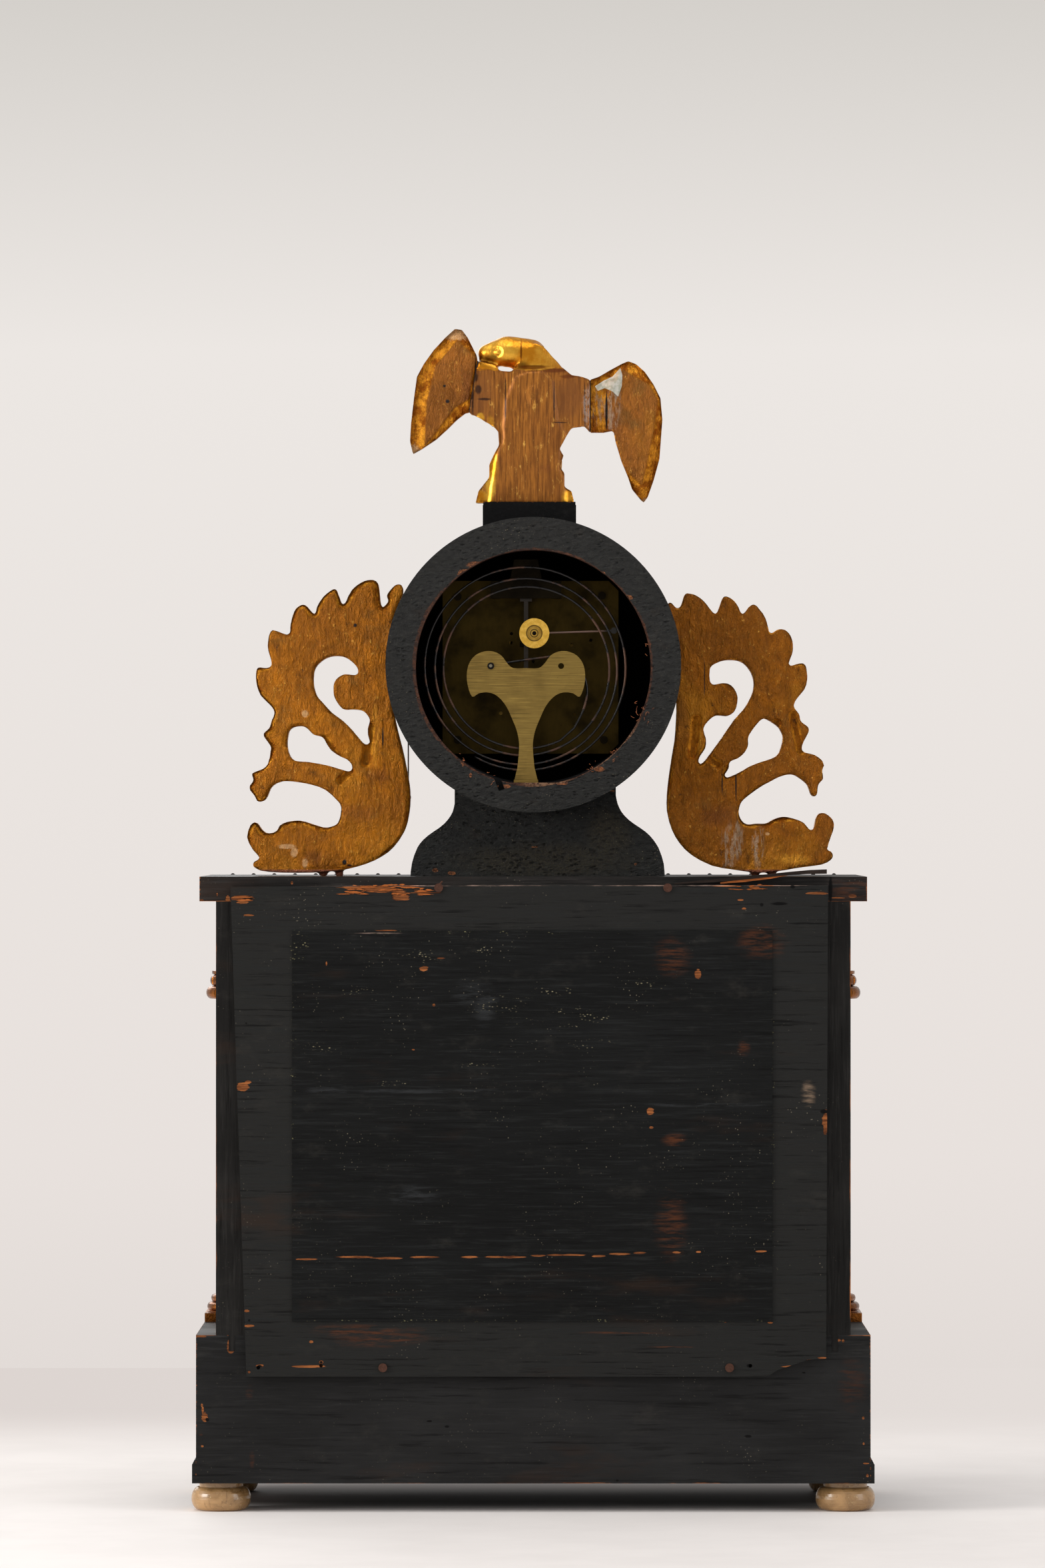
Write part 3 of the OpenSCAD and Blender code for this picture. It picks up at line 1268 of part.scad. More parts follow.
left_holes = [
  [
    [46.5, 110], [52, 110], [56, 108], [59.5, 104.5], [60, 101], [57.5, 100.5], [53, 101], [49, 98.5],
    [47.5, 95.5], [47.5, 91], [49, 87], [52.5, 83], [57, 83], [62, 82.5], [64.5, 80.5], [66, 77.5],
    [65, 74], [65, 70], [66, 66.5], [64.5, 65], [62, 66.5], [57.5, 72], [52, 77.5], [46.5, 81.5],
    [42.5, 86], [39, 90], [37.5, 95.5], [37.5, 100.5], [38.5, 104.5], [42, 108]
  ],
  [
    [25, 72], [27.5, 74], [32, 74.5], [35, 72.5], [37.5, 70], [42, 69], [44, 65.5], [46.5, 62],
    [51, 59], [54.5, 57.5], [57, 54.5], [56.5, 51.5], [53, 52], [46.5, 54], [40, 55.5], [33, 56.5],
    [27.5, 57], [25, 60.5], [24, 65.5]
  ]
];
right_edge = [
  [34.5, 137], [37.5, 136], [39.5, 134], [41.5, 136.5], [43, 141.5], [45.5, 142], [49, 141],
  [53.5, 137.5], [56, 134], [59, 131.5], [61, 136], [62.5, 140], [64.5, 140.5], [68, 138.5],
  [70.5, 135], [72.5, 131], [75.5, 135], [78.5, 136.5], [81.5, 133.5], [84.5, 129], [86.5, 121],
  [89, 123], [92.5, 124], [96, 122], [98, 117.5], [98, 112], [96.5, 108], [96, 105], [99.5, 106],
  [103.5, 106.5], [105, 104], [105.5, 98.5], [104, 93], [100.5, 89], [98.5, 84.5], [101.5, 80.5],
  [102, 77], [106, 74], [106, 71], [103.5, 66.5], [102.5, 62.5], [104.5, 61], [109, 60], [113, 57],
  [114, 54.5], [113, 52], [113.5, 47.5], [111, 45], [110.5, 40], [109, 38.5], [107, 40], [105.5, 44.5],
  [101.5, 48], [97.5, 50], [92, 49], [87, 46.5], [81.5, 43.5], [74, 38], [71.5, 35], [70.5, 30.5],
  [72, 26.5], [75, 24.5], [79.5, 25], [84.5, 25], [88, 27], [93, 28.5], [98.5, 27.5], [103.5, 25.5],
  [106.5, 22], [108.5, 21.5], [110, 28.5], [113, 30.5], [116.5, 29], [119, 25.5], [118.5, 21],
  [117, 17], [115.5, 11.5], [117.5, 11], [118.5, 8.5], [117, 6], [112.5, 4], [101.5, 2.5], [89, 0.5],
  [79.5, 0], [68, 1.5], [57, 3.5], [46.5, 9], [40.4, 15.2], [36.6, 22], [34.1, 31], [34.1, 40], [35, 48.5],
  [36.5, 58.8], [37.9, 67], [38.6, 76], [38.8, 87], [36.5, 94], [32, 101], [32, 120]
];
right_holes = [
  [
    [56, 104], [59, 106.5], [63.5, 108], [69, 108], [73, 106.5], [76, 103], [78, 98.5], [78, 93],
    [76, 88], [73, 83], [68, 77.5], [61.5, 68], [56, 60.5], [52, 55.5], [50, 56], [51, 59.5],
    [53.5, 63], [54, 68], [52.5, 73], [55, 77], [59, 80], [64.5, 79.5], [68.5, 82], [70, 87],
    [69.5, 91.5], [66.5, 95.5], [62.5, 96.5], [57.5, 95.5], [56, 97.5]
  ],
  [
    [84.5, 78], [88, 76], [91, 73.5], [93, 69], [92, 63.5], [89.5, 59], [82.5, 56.5], [76, 54],
    [70, 50.5], [63.5, 48], [63.5, 50], [65.5, 53], [66, 56.5], [70, 58], [74, 61.5], [75.5, 65.5],
    [75.5, 69.5], [81.5, 77.5]
  ]
];
module scroll_sheet(edge, holes, k) {
  difference() {
    polygon(closed_spline(edge, k));
    for (h = holes) {
      polygon(closed_spline(h, k));
    }
  }
}
module scroll() {
  slab_y(scroll_y0, scroll_y0 + scroll_t) difference() {
    children();
    translate([0, drum_z]) circle(r = hoop_r + glue, $fn = 128);
  }
}
scroll_left_x = drum_r + scroll_left_reach;
scroll_right_x = drum_r - scroll_right_tuck;
peg_r = 2.3;
module peg() {
  cylinder(r1 = peg_r, r2 = peg_r * 0.5, h = scroll_gap + 4);
}
module scroll_left() {
  color(gilt) {
    scroll() translate([scroll_left_x, scroll_z]) mirror([1, 0]) scroll_sheet(left_edge, left_holes, 2);
    for (u = [42.2, 50.4]) {
      translate([scroll_left_x - u, scroll_y0 + scroll_t / 2, cornice_top]) peg();
    }
  }
}
module scroll_right() {
  color(gilt) {
    scroll() translate([-scroll_right_x, scroll_z]) mirror([1, 0]) scroll_sheet(right_edge, right_holes, 2);
    for (u = [79, 87.5]) {
      translate([-scroll_right_x - u, scroll_y0 + scroll_t / 2, cornice_top]) peg();
    }
  }
}

// Repeat cord: it hangs from a hole bored up into the hoop, with a knob at its end
cord_x = 63.8;
cord_y = 8;
cord_mouth_z = drum_z - sqrt(hoop_r * hoop_r - cord_x * cord_x);
cord_top_z = cord_mouth_z + 16;
cord_low_z = cord_mouth_z - 34.5;
cord_hole_r = 0.9;
cord_sides = 8;
cord_rings = 22;
module cord_hole() {
  translate([cord_x, cord_y, cord_mouth_z - 4]) cylinder(r = cord_hole_r, h = cord_top_z - cord_mouth_z + 4);
}
// A hanging tube of a given radius between two heights
module hanging_tube(r, low, high, sides, count) {
  points = [for (i = [0:count], j = [0:sides - 1])
    [r * cos(360 * j / sides), r * sin(360 * j / sides), low + (high - low) * i / count]];
  walls = [for (i = [0:count - 1], j = [0:sides - 1]) let (q = (j + 1) % sides, a = i * sides, b = a + sides)
    each [[a + j, b + j, b + q], [a + j, b + q, a + q]]];
  ends = [for (j = [1:sides - 2]) each [[0, j, j + 1], [count * sides, count * sides + j + 1, count * sides + j]]];
  polyhedron(points, concat(walls, ends));
}
module repeat_cord() {
  color("wheat") translate([cord_x, cord_y, 0])
    hanging_tube(cord_r, cord_low_z, cord_top_z, cord_sides, cord_rings);
}
module cord_bead() {
  color(raw_wood) translate([cord_x, cord_y, cord_low_z - 2 * knob_r]) rotate_extrude($fn = 32)
    polygon(concat([[0, 0]], oval([knob_r * 0.4, knob_r], knob_r * 0.6, knob_r, -90, 90, 8), [[0, 2 * knob_r]]));
}

foot_back_left();
foot_back_right();
foot_front_left();
foot_front_right();
base_boards();
base_top_board();
base_moulding();
case_side_left();
case_side_right();
mirror_board();
mirror_glass();
mirror_frame();
back_panel();
panel_nails();
cornice_board();
cornice_beads();
frieze();
column_left();
column_right();
column_bases();
capitals();
neck_boards();
neck_sides();
drum_hoop();
drum_back_ring();
drum_front_ring();
bezel();
bezel_glass();
bezel_hinge();
dial_plate();
dial();
hour_hand();
minute_hand();
front_plate();
back_plate();
plate_pillars();
going_barrel();
going_arbor();
strike_barrel();
strike_arbor();
centre_wheel();
minute_wheel();
hour_wheel();
third_wheel();
escape_wheel();
anchor();
back_cock();
pendulum();
pin_wheel();
hammer();
gong();
gong_stand();
eagle_block();
eagle_body();
eagle_wing_left();
eagle_wing_right();
scroll_left();
scroll_right();
repeat_cord();
cord_bead();
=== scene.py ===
import bpy, bmesh, math
import numpy as np
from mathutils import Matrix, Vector

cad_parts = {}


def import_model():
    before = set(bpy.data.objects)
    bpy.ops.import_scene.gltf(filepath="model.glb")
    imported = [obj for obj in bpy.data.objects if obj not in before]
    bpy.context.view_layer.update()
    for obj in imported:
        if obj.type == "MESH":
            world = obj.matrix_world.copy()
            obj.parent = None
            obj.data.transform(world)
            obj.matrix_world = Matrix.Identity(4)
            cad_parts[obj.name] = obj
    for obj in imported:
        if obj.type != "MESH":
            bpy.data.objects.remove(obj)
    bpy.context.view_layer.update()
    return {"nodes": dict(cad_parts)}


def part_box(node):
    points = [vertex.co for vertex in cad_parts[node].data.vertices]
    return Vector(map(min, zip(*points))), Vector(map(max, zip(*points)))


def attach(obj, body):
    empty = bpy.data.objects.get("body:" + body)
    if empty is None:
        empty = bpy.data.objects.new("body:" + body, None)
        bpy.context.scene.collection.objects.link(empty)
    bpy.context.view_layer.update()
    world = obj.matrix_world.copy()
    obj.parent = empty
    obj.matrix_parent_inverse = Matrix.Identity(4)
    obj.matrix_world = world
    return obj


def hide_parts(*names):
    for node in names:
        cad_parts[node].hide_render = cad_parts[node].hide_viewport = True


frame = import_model()
nodes = frame["nodes"]
scene = bpy.context.scene
MM = 0.001
# Places in the model, in mm
DRUM_Z = 428.8
OPENING_Z = DRUM_Z - 3.6
OPENING_R = 60.0
CORNICE_TOP = 319.5
PANEL_FACE = 75.0
CORD_X, CORD_Y = 63.8, 8.0
CORD_TOP, CORD_LOW = 395.43, 360.93


# Camera

def add_camera():
    data = bpy.data.cameras.new("camera")
    cam = bpy.data.objects.new("camera", data)
    scene.collection.objects.link(cam)
    at = Vector((-0.0017, 3.969, 0.350))
    aim = Vector((0.0054, 0.069, 0.3661))
    cam.location = at
    cam.rotation_euler = (aim - at).to_track_quat("-Z", "Y").to_euler()
    data.sensor_fit = "VERTICAL"
    data.sensor_height = 36
    data.lens = 178.1
    data.clip_end = 60
    scene.camera = cam


add_camera()


# Shader building

class Nodes:
    """Short names for adding and linking the nodes of one tree."""

    def __init__(self, tree):
        self.t = tree

    def put(self, socket, v):
        if isinstance(v, bpy.types.NodeSocket):
            self.t.links.new(v, socket)
        elif socket.type == "RGBA":
            socket.default_value = (*v[:3], 1)
        else:
            socket.default_value = v

    def node(self, kind, ins=None, **props):
        n = self.t.nodes.new(kind)
        for k, v in props.items():
            setattr(n, k, v)
        for k, v in (ins or {}).items():
            self.put(n.inputs[k], v)
        return n

    def calc(self, op, a, b=0.0, c=0.0):
        return self.node("ShaderNodeMath", {0: a, 1: b, 2: c}, operation=op).outputs[0]

    def mul(self, a, b):
        return self.calc("MULTIPLY", a, b)

    def mad(self, a, b, c):
        return self.calc("MULTIPLY_ADD", a, b, c)

    def add(self, a, b):
        return self.calc("ADD", a, b)

    def sub(self, a, b):
        return self.calc("SUBTRACT", a, b)

    def inv(self, a):
        return self.calc("SUBTRACT", 1.0, a)

    def most(self, *masks):
        out = masks[0]
        for g in masks[1:]:
            out = self.calc("MAXIMUM", out, g)
        return out

    def vector(self, op, a, b=(0, 0, 0), out=0):
        return self.node("ShaderNodeVectorMath", {0: a, 1: b}, operation=op).outputs[out]

    def axes(self, vector):
        return self.node("ShaderNodeSeparateXYZ", {0: vector}).outputs

    def step(self, v, lo, hi, a=0.0, b=1.0):
        """Smooth change from a to b while v goes from lo to hi."""
        return self.node("ShaderNodeMapRange", {0: v, 1: lo, 2: hi, 3: a, 4: b},
                         interpolation_type="SMOOTHSTEP").outputs[0]

    def mix(self, f, a, b):
        return self.node("ShaderNodeMix", {0: f, 6: a, 7: b}, data_type="RGBA").outputs[2]


class Mat(Nodes):
    """One material: masks and colours are made in object space, in the model's own metres."""

    def __init__(self, name):
        self.m = bpy.data.materials.new(name)
        self.m.use_nodes = True
        super().__init__(self.m.node_tree)
        self.b = self.t.nodes["Principled BSDF"]
        self.coord = self.node("ShaderNodeTexCoord").outputs
        self.pos = self.coord["Object"]
        self.xyz = self.axes(self.pos)

    def axis(self, i):
        return self.xyz[i]

    def facing(self, i):
        return self.axes(self.coord["Normal"])[i]

    def stretch(self, k, vec=None):
        return self.vector("MULTIPLY", vec or self.pos, k)

    def warp(self, vec, scale, amount):
        n = self.node("ShaderNodeTexNoise", {"Vector": vec, "Scale": scale, "Detail": 2.0})
        s = self.vector("SUBTRACT", n.outputs["Color"], (0.5, 0.5, 0.5))
        return self.vector("ADD", vec, self.vector("MULTIPLY", s, (amount, amount, amount)))

    def noise(self, scale, k=(1, 1, 1), detail=3.0, rough=0.55, distort=0.0, vec=None):
        return self.node("ShaderNodeTexNoise", {"Vector": self.stretch(k, vec), "Scale": scale, "Detail": detail,
                                                "Roughness": rough, "Distortion": distort}).outputs[0]

    def cloud(self, scale, detail, rough, distort=0.0, vec=None):
        return self.noise(scale, (1, 1, 1), detail, rough, distort, vec)

    def cells(self, scale, k=(1, 1, 1), vec=None):
        return self.node("ShaderNodeTexVoronoi", {"Vector": self.stretch(k, vec), "Scale": scale}).outputs["Distance"]

    def around(self, x, z):
        """Distance from the line along Y through (x, z) in mm."""
        d = self.vector("SUBTRACT", self.pos, (x * MM, 0, z * MM))
        return self.vector("LENGTH", self.stretch((1, 0, 1), d), out=1)

    def nearest(self, spots, grow=1.0):
        """0 at the middle and 1 at the rim of the nearest spot, given as (x, z, half width, half height) in mm."""
        best = None
        for x, z, rx, rz in spots:
            d = self.vector("SUBTRACT", self.pos, (x * MM, 0, z * MM))
            d = self.vector("MULTIPLY", d, (1 / (rx * MM * grow), 0, 1 / (rz * MM * grow)))
            d = self.vector("LENGTH", d, out=1)
            best = d if best is None else self.calc("MINIMUM", best, d)
        return best

    def blob(self, spots, ragged=0.5, scale=700, soft=0.18, grain=(1, 1, 1)):
        """1 inside ragged patches."""
        rag = self.mad(self.noise(scale, grain, 4, 0.7), ragged * 2, 1 - ragged)
        return self.step(self.mul(self.nearest(spots), rag), 1 - soft, 1 + soft, 1.0, 0.0)

    def shards(self, spots, grain, scale=560, cover=0.5):
        """Broken flakes inside soft spots."""
        near = self.step(self.nearest(spots, 1.25), 0.35, 1.15, 1.0, 0.0)
        k = tuple(max(g, 0.16) for g in grain)
        n = self.mad(self.noise(scale, k, 5, 0.75), 0.75, self.mul(self.cloud(160, 2, 0.5), 0.25))
        edge = self.mad(near, -0.34, 0.5 + 0.3 * (1 - cover))
        return self.mul(self.step(self.sub(n, edge), -0.02, 0.05), self.step(near, 0.02, 0.2))

    def crumbs(self, spots, kind):
        """Rows of tiny specks inside soft spots, or faint streaks where kind is "smear"."""
        near = self.blob(spots, 0.5, 260, 0.6, (0.4, 1, 1))
        if kind == "smear":
            return self.mul(near, self.step(self.noise(520, (0.12, 1, 1), 4, 0.7), 0.4, 0.66, 0.0, 0.6))
        dots = self.step(self.cells(1000, (0.6, 1, 1)), 0.36, 0.2)
        lots = self.step(self.noise(260, (0.3, 1, 1), 5, 0.75), 0.52, 0.62, 0.0, 0.85)
        return self.mul(near, self.mul(dots, lots))

    def edges(self, planes, wear, grain, width=1.3):
        """Worn along planes given as (axis number, mm), 1 where the finish has gone."""
        near = None
        for i, v in planes:
            d = self.calc("ABSOLUTE", self.sub(self.axis(i), v * MM))
            d = self.add(d, self.mul(self.calc("ABSOLUTE", self.facing(i)), width * 0.8 * MM))
            near = d if near is None else self.calc("MINIMUM", near, d)
        reach = self.step(near, 0, width * MM, 0.34, 0.0)
        return self.step(self.add(self.noise(620, grain, 5, 0.65), reach), wear + 0.22, wear + 0.3)

    def over(self, mask, color, amount=None):
        if amount is not None:
            mask = self.mul(mask, amount)
        self.color = self.mix(mask, self.color, color)

    def lay(self, color, v, lo, hi, amount=1.0):
        """Lays a colour on as v goes from lo to hi."""
        self.over(self.step(v, lo, hi, 0, amount), color)

    def bump(self, height, strength, distance, normal=None):
        ins = {"Height": height, "Strength": strength, "Distance": distance}
        if normal is not None:
            ins["Normal"] = normal
        return self.node("ShaderNodeBump", ins).outputs[0]

    def done(self, color, rough=0.5, metal=0.0, normal=None, **more):
        more.update(Base_Color=color, Roughness=rough, Metallic=metal)
        if normal is not None:
            more["Normal"] = normal
        for k, v in more.items():
            self.put(self.b.inputs[k.replace("_", " ")], v)
        return self.m


def rgb(r, g, b):
    def lin(c):
        c /= 255
        return c / 12.92 if c <= 0.04045 else ((c + 0.055) / 1.055) ** 2.4
    return (lin(r), lin(g), lin(b))


def times(color, k):
    return tuple(c * k for c in color)


RAW = rgb(168, 102, 56)
RAW_DARK = rgb(70, 36, 18)
BLACK = rgb(24, 25, 25)


def ebony(name, grain=(0.06, 1, 1), chips=(), planes=(), wear=0.5, tint=BLACK, ridge=0.35, specks=0.5, rough=0.5,
          patches=(), ridge_scale=520, lighter=None, dent_shade=(), ridge_color=1.9):
    """Black stained softwood with grain ridges, dust specks, worn edges and chips down to orange wood."""
    m = Mat(name)
    fine = m.noise(ridge_scale, grain, 4, 0.65)
    broad = m.noise(30, (0.35, 1, 1), 4, 0.6)
    smear = m.noise(90, (0.5, 1, 1), 4, 0.7)
    m.color = m.mix(m.step(broad, 0.35, 0.75), times(tint, 0.72), times(tint, 1.3))
    if lighter is not None:
        m.over(lighter(m), rgb(31, 31, 30))
    hair = m.noise(ridge_scale * 2.1, tuple(max(g * 0.8, 0.03) for g in grain), 3, 0.6)
    m.lay(times(tint, ridge_color), fine, 0.52, 0.72, 0.8)
    m.lay(times(tint, ridge_color * 1.2), hair, 0.56, 0.7, 0.5)
    m.lay(times(tint, 0.25), fine, 0.46, 0.3, 0.85)
    m.lay(rgb(52, 50, 46), smear, 0.55, 0.8, 0.35)
    m.lay(rgb(50, 34, 24), m.noise(22, (0.5, 1, 2), 4, 0.6), 0.6, 0.78, 0.45)
    dust = m.mul(m.step(m.cells(480), 0.17, 0.08), m.step(m.cloud(46, 4, 0.7), 0.56 - 0.08 * specks, 0.72))
    m.over(dust, rgb(150, 142, 122), 0.6 * specks)
    worn = m.edges(planes, wear, grain) if planes else None
    if chips:
        bare = m.shards(chips, grain)
        worn = bare if worn is None else m.most(worn, bare)
    height = fine
    if worn is not None:
        m.over(worn, m.mix(m.step(m.noise(1100, grain, 4, 0.75), 0.36, 0.7), RAW_DARK, RAW))
        height = m.sub(fine, m.mul(worn, 1.6))
    for spots, color, kind in patches:
        m.over(m.crumbs(spots, kind), color)
    # Painted shade in the dents: they are laid on near black
    if dent_shade:
        m.over(m.blob(dent_shade, 0.3, 600, 0.3), (0.001, 0.001, 0.001))
    n = m.bump(m.noise(2600, (0.5, 1, 1), 2, 0.5), 0.14, 0.0002, m.bump(height, ridge, 0.0005))
    r = m.step(broad, 0.3, 0.7, rough - 0.04, rough + 0.14)
    return m.done(m.color, r, 0.0, n, IOR=1.45, Specular_IOR_Level=0.13)


def gilt_back(name, tint, tape=(), pale=(), cracks=(), stains=(), shine=(), relief=1.0, leaf_at=None, pegs=False):
    """Ochre wash brushed and dabbed over the flat back, with bright leaf where the surface turns away from it."""
    m = Mat(name)
    v = m.warp(m.pos, 55, 0.004)
    stroke = m.noise(520, (1, 1, 0.16), 5, 0.72, 0.4, v)
    ridge = m.noise(240, (1, 1, 0.4), 5, 0.7, 0.9, v)
    crumb = m.noise(820, (1, 1, 0.7), 4, 0.75, 0.4, v)
    tone = m.noise(24, (1, 1, 0.8), 4, 0.6)
    dabs = m.noise(95, (1, 1, 0.8), 5, 0.7, 1.0)
    m.color = m.mix(m.step(dabs, 0.36, 0.66), times(tint, 0.74), times(tint, 1.12))
    # Painted shade: the brush strokes are darker in their hollows
    m.lay(tuple(c * k for c, k in zip(tint, (0.4, 0.33, 0.3))), stroke, 0.5, 0.3, 0.62)
    m.lay(rgb(118, 68, 12), tone, 0.42, 0.7, 0.5)
    m.lay(rgb(186, 122, 24), tone, 0.5, 0.3, 0.5)
    m.lay(rgb(100, 74, 32), m.cloud(52, 5, 0.65), 0.56, 0.72, 0.5)
    # Painted highlight on the raised crumbs and ridges
    painted_highlight = m.mul(m.step(crumb, 0.56, 0.7), m.step(ridge, 0.46, 0.62))
    m.over(painted_highlight, rgb(240, 186, 84), 0.8)
    m.lay(rgb(52, 27, 9), m.noise(150, (1, 1, 0.8), 5, 0.78), 0.61, 0.7, 0.75)
    if stains:
        m.over(m.blob(stains, 0.8, 110, 0.7), rgb(84, 38, 24), 0.35)
    turned = m.step(m.facing(1), 0.93, 0.74)
    if leaf_at is not None:
        turned = m.most(turned, leaf_at(m))
    leaf_color = m.mix(m.step(m.cloud(170, 5, 0.7), 0.4, 0.62), rgb(146, 78, 12), rgb(222, 150, 42))
    m.over(turned, leaf_color)
    if shine:
        s = m.mul(m.blob(shine, 0.5, 240, 0.5), m.step(ridge, 0.4, 0.56, 0.1, 0.8))
        m.over(s, rgb(214, 148, 44))
    metal = m.mad(turned, 0.3, 0.46)
    if pale:
        p = m.blob(pale, 0.6, 600, 0.3)
        m.over(p, m.mix(m.step(crumb, 0.3, 0.7), rgb(186, 132, 82), rgb(226, 178, 122)))
        metal = m.mul(metal, m.inv(p))
    if tape:
        t = m.mul(m.blob(tape, 0.4, 300, 0.4), m.step(m.noise(520, (1, 1, 0.22), 5, 0.75), 0.46, 0.6))
        m.over(t, rgb(164, 144, 122), 0.75)
    if cracks:
        c = m.blob(cracks, 0.3, 400, 0.3)
        m.over(c, rgb(20, 8, 6))
        metal = m.mul(metal, m.inv(c))
    if pegs:
        m.lay(rgb(140, 84, 62), m.axis(2), 323.0 * MM, 322.4 * MM)
    n = m.bump(m.mad(ridge, 1.0, m.mul(dabs, 0.7)), 1.0, 0.0036 * relief)
    n = m.bump(stroke, 0.9, 0.0013 * relief, n)
    n = m.bump(crumb, 0.7, 0.0007 * relief, n)
    rough = m.step(tone, 0.3, 0.7, 0.26, 0.4)
    return m.done(m.color, rough, metal, n, Specular_IOR_Level=0.2)


def gilt_leaf(name, low=rgb(200, 132, 44), high=rgb(246, 196, 98)):
    """Bright burnished leaf in two tones, with red ground at the worn places."""
    m = Mat(name)
    tone = m.cloud(90, 4, 0.6)
    m.color = m.mix(m.step(tone, 0.35, 0.7), low, high)
    red = m.step(m.cloud(210, 5, 0.7), 0.62, 0.72, 0, 0.8)
    m.over(red, rgb(120, 52, 24))
    n = m.bump(m.cloud(260, 4, 0.6), 0.45, 0.0008)
    metal = m.inv(m.mul(red, 0.8))
    return m.done(m.color, m.step(tone, 0.3, 0.75, 0.2, 0.36), metal, n)


def brass(name, tint, rough=0.3, brush=None, dirt=0.3, dark=rgb(60, 42, 16), scale=2600, metal=1.0,
          dark_behind=None, scratch=0.0, rivet=None, **more):
    """Brushed or smooth brass, tarnished in places; dark_behind is the depth up to which it lies in shade."""
    m = Mat(name)
    tone = m.cloud(60, 4, 0.6)
    grain = m.noise(scale, brush or (1, 1, 1), 3, 0.6)
    m.color = m.mix(m.step(tone, 0.4, 0.78, 0, dirt), tint, dark)
    m.lay(times(tint, 0.6), grain, 0.35, 0.7, 0.25)
    m.lay(dark, m.cloud(420, 3, 0.6), 0.68, 0.76, 0.5)
    if scratch:
        lines = m.noise(2200, (0.02, 1, 1), 3, 0.6)
        m.lay(times(tint, 1.7), lines, 0.54, 0.68, scratch)
        m.lay(times(tint, 0.4), lines, 0.46, 0.34, scratch)
    if rivet:
        x, z = rivet
        m.over(m.blob([(x, z, 1.75, 1.75)], 0.05, 500, 0.1), rgb(14, 12, 9))
        # A lighter spot on the rivet's head, set a little up and towards +X: a painted highlight
        m.over(m.blob([(x + 0.1, z + 0.1, 0.8, 0.8)], 0.05, 500, 0.2), rgb(112, 106, 90))
    if dark_behind is not None:
        m.lay((0.003, 0.002, 0.001), m.axis(1), dark_behind * MM, (dark_behind + 0.3) * MM)
    n = m.bump(grain, 0.25 if brush else 0.08, 0.0002)
    return m.done(m.color, m.step(tone, 0.3, 0.75, rough, rough + 0.18), metal, n, **more)


def stone(name, dark, light, veined, rough=0.22):
    """Polished stone with clouds of two tones and veins of a third."""
    m = Mat(name)
    v = m.warp(m.pos, 45, 0.012)
    cloud = m.noise(70, (1, 1, 1.6), 5, 0.62, 0.6, v)
    vein = m.cloud(160, 6, 0.7, 1.2, v)
    m.color = m.mix(m.step(cloud, 0.32, 0.68), dark, light)
    m.lay(veined, vein, 0.52, 0.7, 0.7)
    m.lay(rgb(222, 202, 150), m.cloud(520, 4, 0.7), 0.62, 0.72, 0.6)
    n = m.bump(m.cloud(340, 4, 0.65), 0.18, 0.0005)
    return m.done(m.color, m.step(cloud, 0.3, 0.7, rough, rough + 0.16), 0.0, n, IOR=1.52, Coat_Weight=0.25)


def gong_wire(name):
    m = Mat(name)
    rust = m.step(m.cloud(70, 4, 0.6), 0.48, 0.62)
    m.color = m.mix(rust, rgb(50, 49, 49), rgb(78, 52, 38))
    m.lay(rgb(18, 13, 11), m.cloud(600, 3, 0.6), 0.55, 0.7, 0.6)
    n = m.bump(m.cloud(1800, 3, 0.6), 0.25, 0.0002)
    return m.done(m.color, m.mad(rust, 0.25, 0.24), m.mad(rust, -0.55, 0.95), n)


def plain(name, color, rough, metal=0.0, scale=900, strength=0.2, k=(1, 1, 1), **more):
    m = Mat(name)
    n = m.noise(scale, k, 3, 0.6)
    c = m.mix(m.step(n, 0.35, 0.7), color, times(color, 0.72))
    return m.done(c, rough, metal, m.bump(n, strength, 0.0003), **more)


def clear_glass():
    m = Mat("clear_glass")
    ripple = m.bump(m.cloud(30, 2, 0.5), 0.02, 0.0004)
    return m.done(rgb(250, 252, 252), 0.02, 0.0, ripple, Transmission_Weight=1.0, IOR=1.5)


def paint(node, mat):
    ob = nodes[node]
    ob.data.materials.clear()
    ob.data.materials.append(mat)


def soften(node, width):
    b = nodes[node].modifiers.new("edges", "BEVEL")
    b.width = width * MM
    b.segments = 2
    b.limit_method = "ANGLE"
    b.angle_limit = math.radians(35)


# Places of wear and stains, and of painted shade in dents, as seen from behind. Most were read in enlarged crops of
# the
# photo: each crop's left and top edge in photo pixels, and its enlargement

CROPS = {"drum": (560, 760, 3.267), "neck": (560, 1120, 3.267), "top_left": (280, 1290, 3.733),
         "top_right": (880, 1290, 3.564), "foot_left": (270, 1900, 3.647), "foot_right": (900, 1900, 3.647),
         "panel": (440, 1400, 2.119)}
PIXEL = 0.335                       # mm in the plane of the clock's back
MIDDLE_PX, FLOOR_PX = 800, 2269.4   # the clock's middle and the floor in the photo
SLIT = 0.55                         # half height of the torn line at the panel's foot, in mm


def read(crop, *spots):
    """Spots as x, y, half width, half height in a crop's pixels, made x, z, half width, half height in mm."""
    left, top, zoom = CROPS[crop]
    return [(round((MIDDLE_PX - (left + x / zoom)) * PIXEL, 1), round((FLOOR_PX - (top + y / zoom)) * PIXEL, 1),
             round(max(w / zoom * PIXEL, 0.3), 1), round(max(h / zoom * PIXEL, 0.2), 1)) for x, y, w, h in spots]


